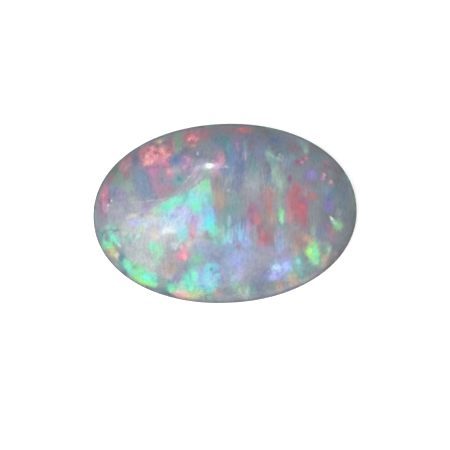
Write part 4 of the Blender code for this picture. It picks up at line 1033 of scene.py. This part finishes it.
def side_fire(board, under, point, height):
    """The domains of colour round the sides and over the base, laid on the colour under."""
    chance = chances(board, lay_cells(board, point, SIDE_CELLS))
    to_edge = lay_cells(board, point, SIDE_CELLS, "DISTANCE_TO_EDGE")["Distance"]
    hues = board.put("ShaderNodeValToRGB", {"Fac": chance[0]})
    stops = hues.color_ramp.elements
    for i, name in enumerate(SIDE_FIRE):
        stop = stops[i] if i < len(stops) else stops.new(1.0)
        stop.position = i / (len(SIDE_FIRE) - 1)
        stop.color = pigment(name)
    streak = board.ramp(lay_pattern(board, point, SIDE_STREAKS), *SIDE_STREAK_DEPTH)
    share = board.sum("MULTIPLY", board.ramp(chance[1], *SIDE_LIT), streak)
    share = board.sum("MULTIPLY", share, board.ramp(to_edge, 0.0, SIDE_SEAM))
    share = board.sum("MULTIPLY", share, board.ramp(height, SIDE_START, SIDE_END, 0.0, SIDE_SHARE))
    return board.lay(share, under, hues.outputs[0])


def surface(board, shader, still, height):
    """The polish, wiped a little unevenly, and the fine grinding of the base."""
    ground = board.ramp(height, GROUND_HEIGHT, 0.0)
    polish = board.ramp(lay_pattern(board, still, WIPING), *MOST_VALUES, *POLISH_ROUGHNESS)
    scratches = board.sum("MULTIPLY", lay_pattern(board, still, GRINDING), ground)
    relief = board.sum("MULTIPLY", scratches, GROUND_RELIEF)
    relief = board.sum("MULTIPLY_ADD", lay_pattern(board, still, POLISH_WAVER), POLISH_RELIEF, relief)
    bump = board.put("ShaderNodeBump", {"Strength": 1.0, "Distance": 1.0, "Height": relief}).outputs[0]
    board.feed(shader.inputs["Roughness"], board.mix(ground, polish, GROUND_ROUGHNESS))
    board.feed(shader.inputs["Normal"], bump)
    shader.inputs["IOR"].default_value = REFRACTION


def opal_material():
    """The milky body, the fire in it and the polish over it, with a painted shade towards the girdle and a few
    painted reflections of the veil's edge and the glint among the flashes.
    """
    material = bpy.data.materials.new("precious opal")
    material.use_nodes = True
    board = Board(material.node_tree)
    shader = material.node_tree.nodes["Principled BSDF"]
    place = board.put("ShaderNodeTexCoord").outputs["Object"]
    turned = {"Vector": place, "Rotation": (0.0, 0.0, VIEW_TURN), "Scale": (1 / MM, 1 / MM, 1 / MM)}
    square = board.put("ShaderNodeMapping", turned, vector_type="POINT").outputs[0]
    height = board.put("ShaderNodeSeparateXYZ", {0: square}).outputs[2]
    # The flashes are laid out as they look from above, where the dome's higher parts look a little larger.
    nearer = board.sum("MULTIPLY_ADD", height, MM / VIEW_DISTANCE, 1.0 - GIRDLE_HEIGHT / VIEW_DISTANCE)
    spread = board.put("ShaderNodeCombineXYZ", {0: nearer, 1: nearer, 2: 1.0}).outputs[0]
    still = board.vector("MULTIPLY", square, spread)
    ragged = push(board, still, RIPPLE, RIPPLE_PUSH, still)
    point = push(board, still, SWIRL, SWIRL_PUSH, ragged)

    milk = lay_pattern(board, point, MILK)
    body = board.lay(board.ramp(milk, *MOST_VALUES), pigment("ash"), pigment("grey"))
    uneven = board.sum("MULTIPLY_ADD", swing(board, milk), UNEVEN, height)
    fire = lay_fire(board, body, point, opal_plays(board, ragged, point))
    grained = board.lay(1.0, fire, stone_grain(board, still), blend_type="MULTIPLY")
    # Painted shade: the colour turns to smoke towards the girdle, for the dark edge that the steep polished sides
    # show.
    rim = board.ramp(uneven, RIM_SHADE_START, RIM_SHADE_END, 0.0, RIM_SHADE_SHARE)
    painted_rim_shade = board.lay(rim, grained, pigment("smoke"))
    board.feed(shader.inputs["Base Color"], side_fire(board, painted_rim_shade, point, uneven))
    surface(board, shader, still, height)
    return material


# The studio

def floor():
    """A plain pale table, wide enough to fill every view down to the horizon."""
    half = TABLE_HALF
    corners = [(-half, -half, 0), (half, -half, 0), (half, half, 0), (-half, half, 0)]
    mesh = bpy.data.meshes.new("table")
    mesh.from_pydata(corners, [], [(0, 1, 2, 3)])
    top = bpy.data.objects.new("table", mesh)
    bpy.context.scene.collection.objects.link(top)
    material = bpy.data.materials.new("white paper")
    material.use_nodes = True
    shader = material.node_tree.nodes["Principled BSDF"]
    shader.inputs["Base Color"].default_value = PAPER_COLOUR
    shader.inputs["Roughness"].default_value = PAPER_ROUGHNESS
    shader.inputs["Specular IOR Level"].default_value = 0.0
    shader.inputs["Emission Color"].default_value = WHITE
    shader.inputs["Emission Strength"].default_value = PAPER_GLOW
    mesh.materials.append(material)
    top.visible_glossy = False


def studio_air():
    """The room's even light: pale to the camera, bright on matt surfaces and dark in the polish."""
    world = bpy.data.worlds.new("studio")
    bpy.context.scene.world = world
    world.use_nodes = True
    board = Board(world.node_tree)
    path = board.put("ShaderNodeLightPath").outputs
    level = board.mix(path["Is Glossy Ray"], AIR_ON_MATT, AIR_IN_POLISH)
    level = board.mix(path["Is Camera Ray"], level, AIR_TO_CAMERA)
    back = world.node_tree.nodes["Background"]
    board.feed(back.inputs["Strength"], level)
    back.inputs["Color"].default_value = WHITE


def mirrored(x, y):
    """The way that the polish mirrors to an eye straight above it, at this point of the picture in mm."""
    right, up = dome_slope(x, y)
    face = Vector((-right, -up, 1.0)).normalized()
    return SQUARE_ON @ (2 * face.z * face - Vector((0.0, 0.0, 1.0)))


def hang(lamp):
    """An oval lamp that faces the stone, out of the camera's sight."""
    data = bpy.data.lights.new(lamp.name, "AREA")
    data.shape = "ELLIPSE"
    data.size = lamp.width
    data.size_y = lamp.height
    data.energy = lamp.power
    light = bpy.data.objects.new(lamp.name, data)
    light.location = mirrored(*lamp.shows_at) * lamp.distance
    light.rotation_euler = (-light.location).to_track_quat("-Z", "Y").to_euler()
    light.visible_camera = False
    bpy.context.scene.collection.objects.link(light)


def camera():
    """Straight above the stone, with a long lens."""
    data = bpy.data.cameras.new("camera")
    data.lens = LENS
    data.sensor_width = SENSOR
    data.clip_start = NEAR
    data.clip_end = FAR
    eye = bpy.data.objects.new("camera", data)
    middle = SQUARE_ON @ Vector((0.0, -PICTURE_DROP, GIRDLE_HEIGHT + VIEW_DISTANCE))
    eye.matrix_world = Matrix.Translation(middle) @ SQUARE_ON
    bpy.context.scene.collection.objects.link(eye)
    bpy.context.scene.camera = eye


def lit_side():
    """The lit side of the tent, from the front round to the left and up to the top, as a fan of rings."""
    middle = mirrored(*LIT_SIDE_MIDDLE)
    corners = [mirrored(*place) for place in LIT_SIDE_RIM]
    count = len(corners)
    points = [middle * TENT_RADIUS]
    glow = [LIT_SIDE_GLOW[0][1]]
    for reach, level in LIT_SIDE_GLOW[1:]:
        points += [middle.slerp(corner, reach) * TENT_RADIUS for corner in corners]
        glow += [level] * count
    faces = []
    for i in range(count):
        j = (i + 1) % count
        faces.append((0, 1 + i, 1 + j))
        for inner in range(1, len(points) - count, count):
            outer = inner + count
            faces.append((inner + i, outer + i, outer + j, inner + j))
    mesh = bpy.data.meshes.new("tent side")
    mesh.from_pydata(points, [], faces)
    mesh.attributes.new("glow", "FLOAT", "POINT").data.foreach_set("value", glow)
    mesh.validate()
    side = bpy.data.objects.new("tent_side", mesh)
    bpy.context.scene.collection.objects.link(side)
    material = bpy.data.materials.new("lit cloth")
    material.use_nodes = True
    board = Board(material.node_tree)
    board.tree.nodes.remove(board.tree.nodes["Principled BSDF"])
    level = board.put("ShaderNodeAttribute", attribute_name="glow").outputs["Fac"]
    light = board.put("ShaderNodeEmission", {"Strength": board.sum("MULTIPLY", level, LIT_SIDE_RADIANCE)})
    board.feed(board.tree.nodes["Material Output"].inputs["Surface"], light.outputs[0])
    mesh.materials.append(material)
    side.visible_camera = False


def main():
    stone = cut_stone(opal_material())
    floor()
    studio_air()
    for lamp in LAMPS:
        hang(lamp)
    lit_side()
    camera()
    bpy.context.scene.view_settings.view_transform = "Standard"
    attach(stone, "root")
    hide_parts("opal")


main()
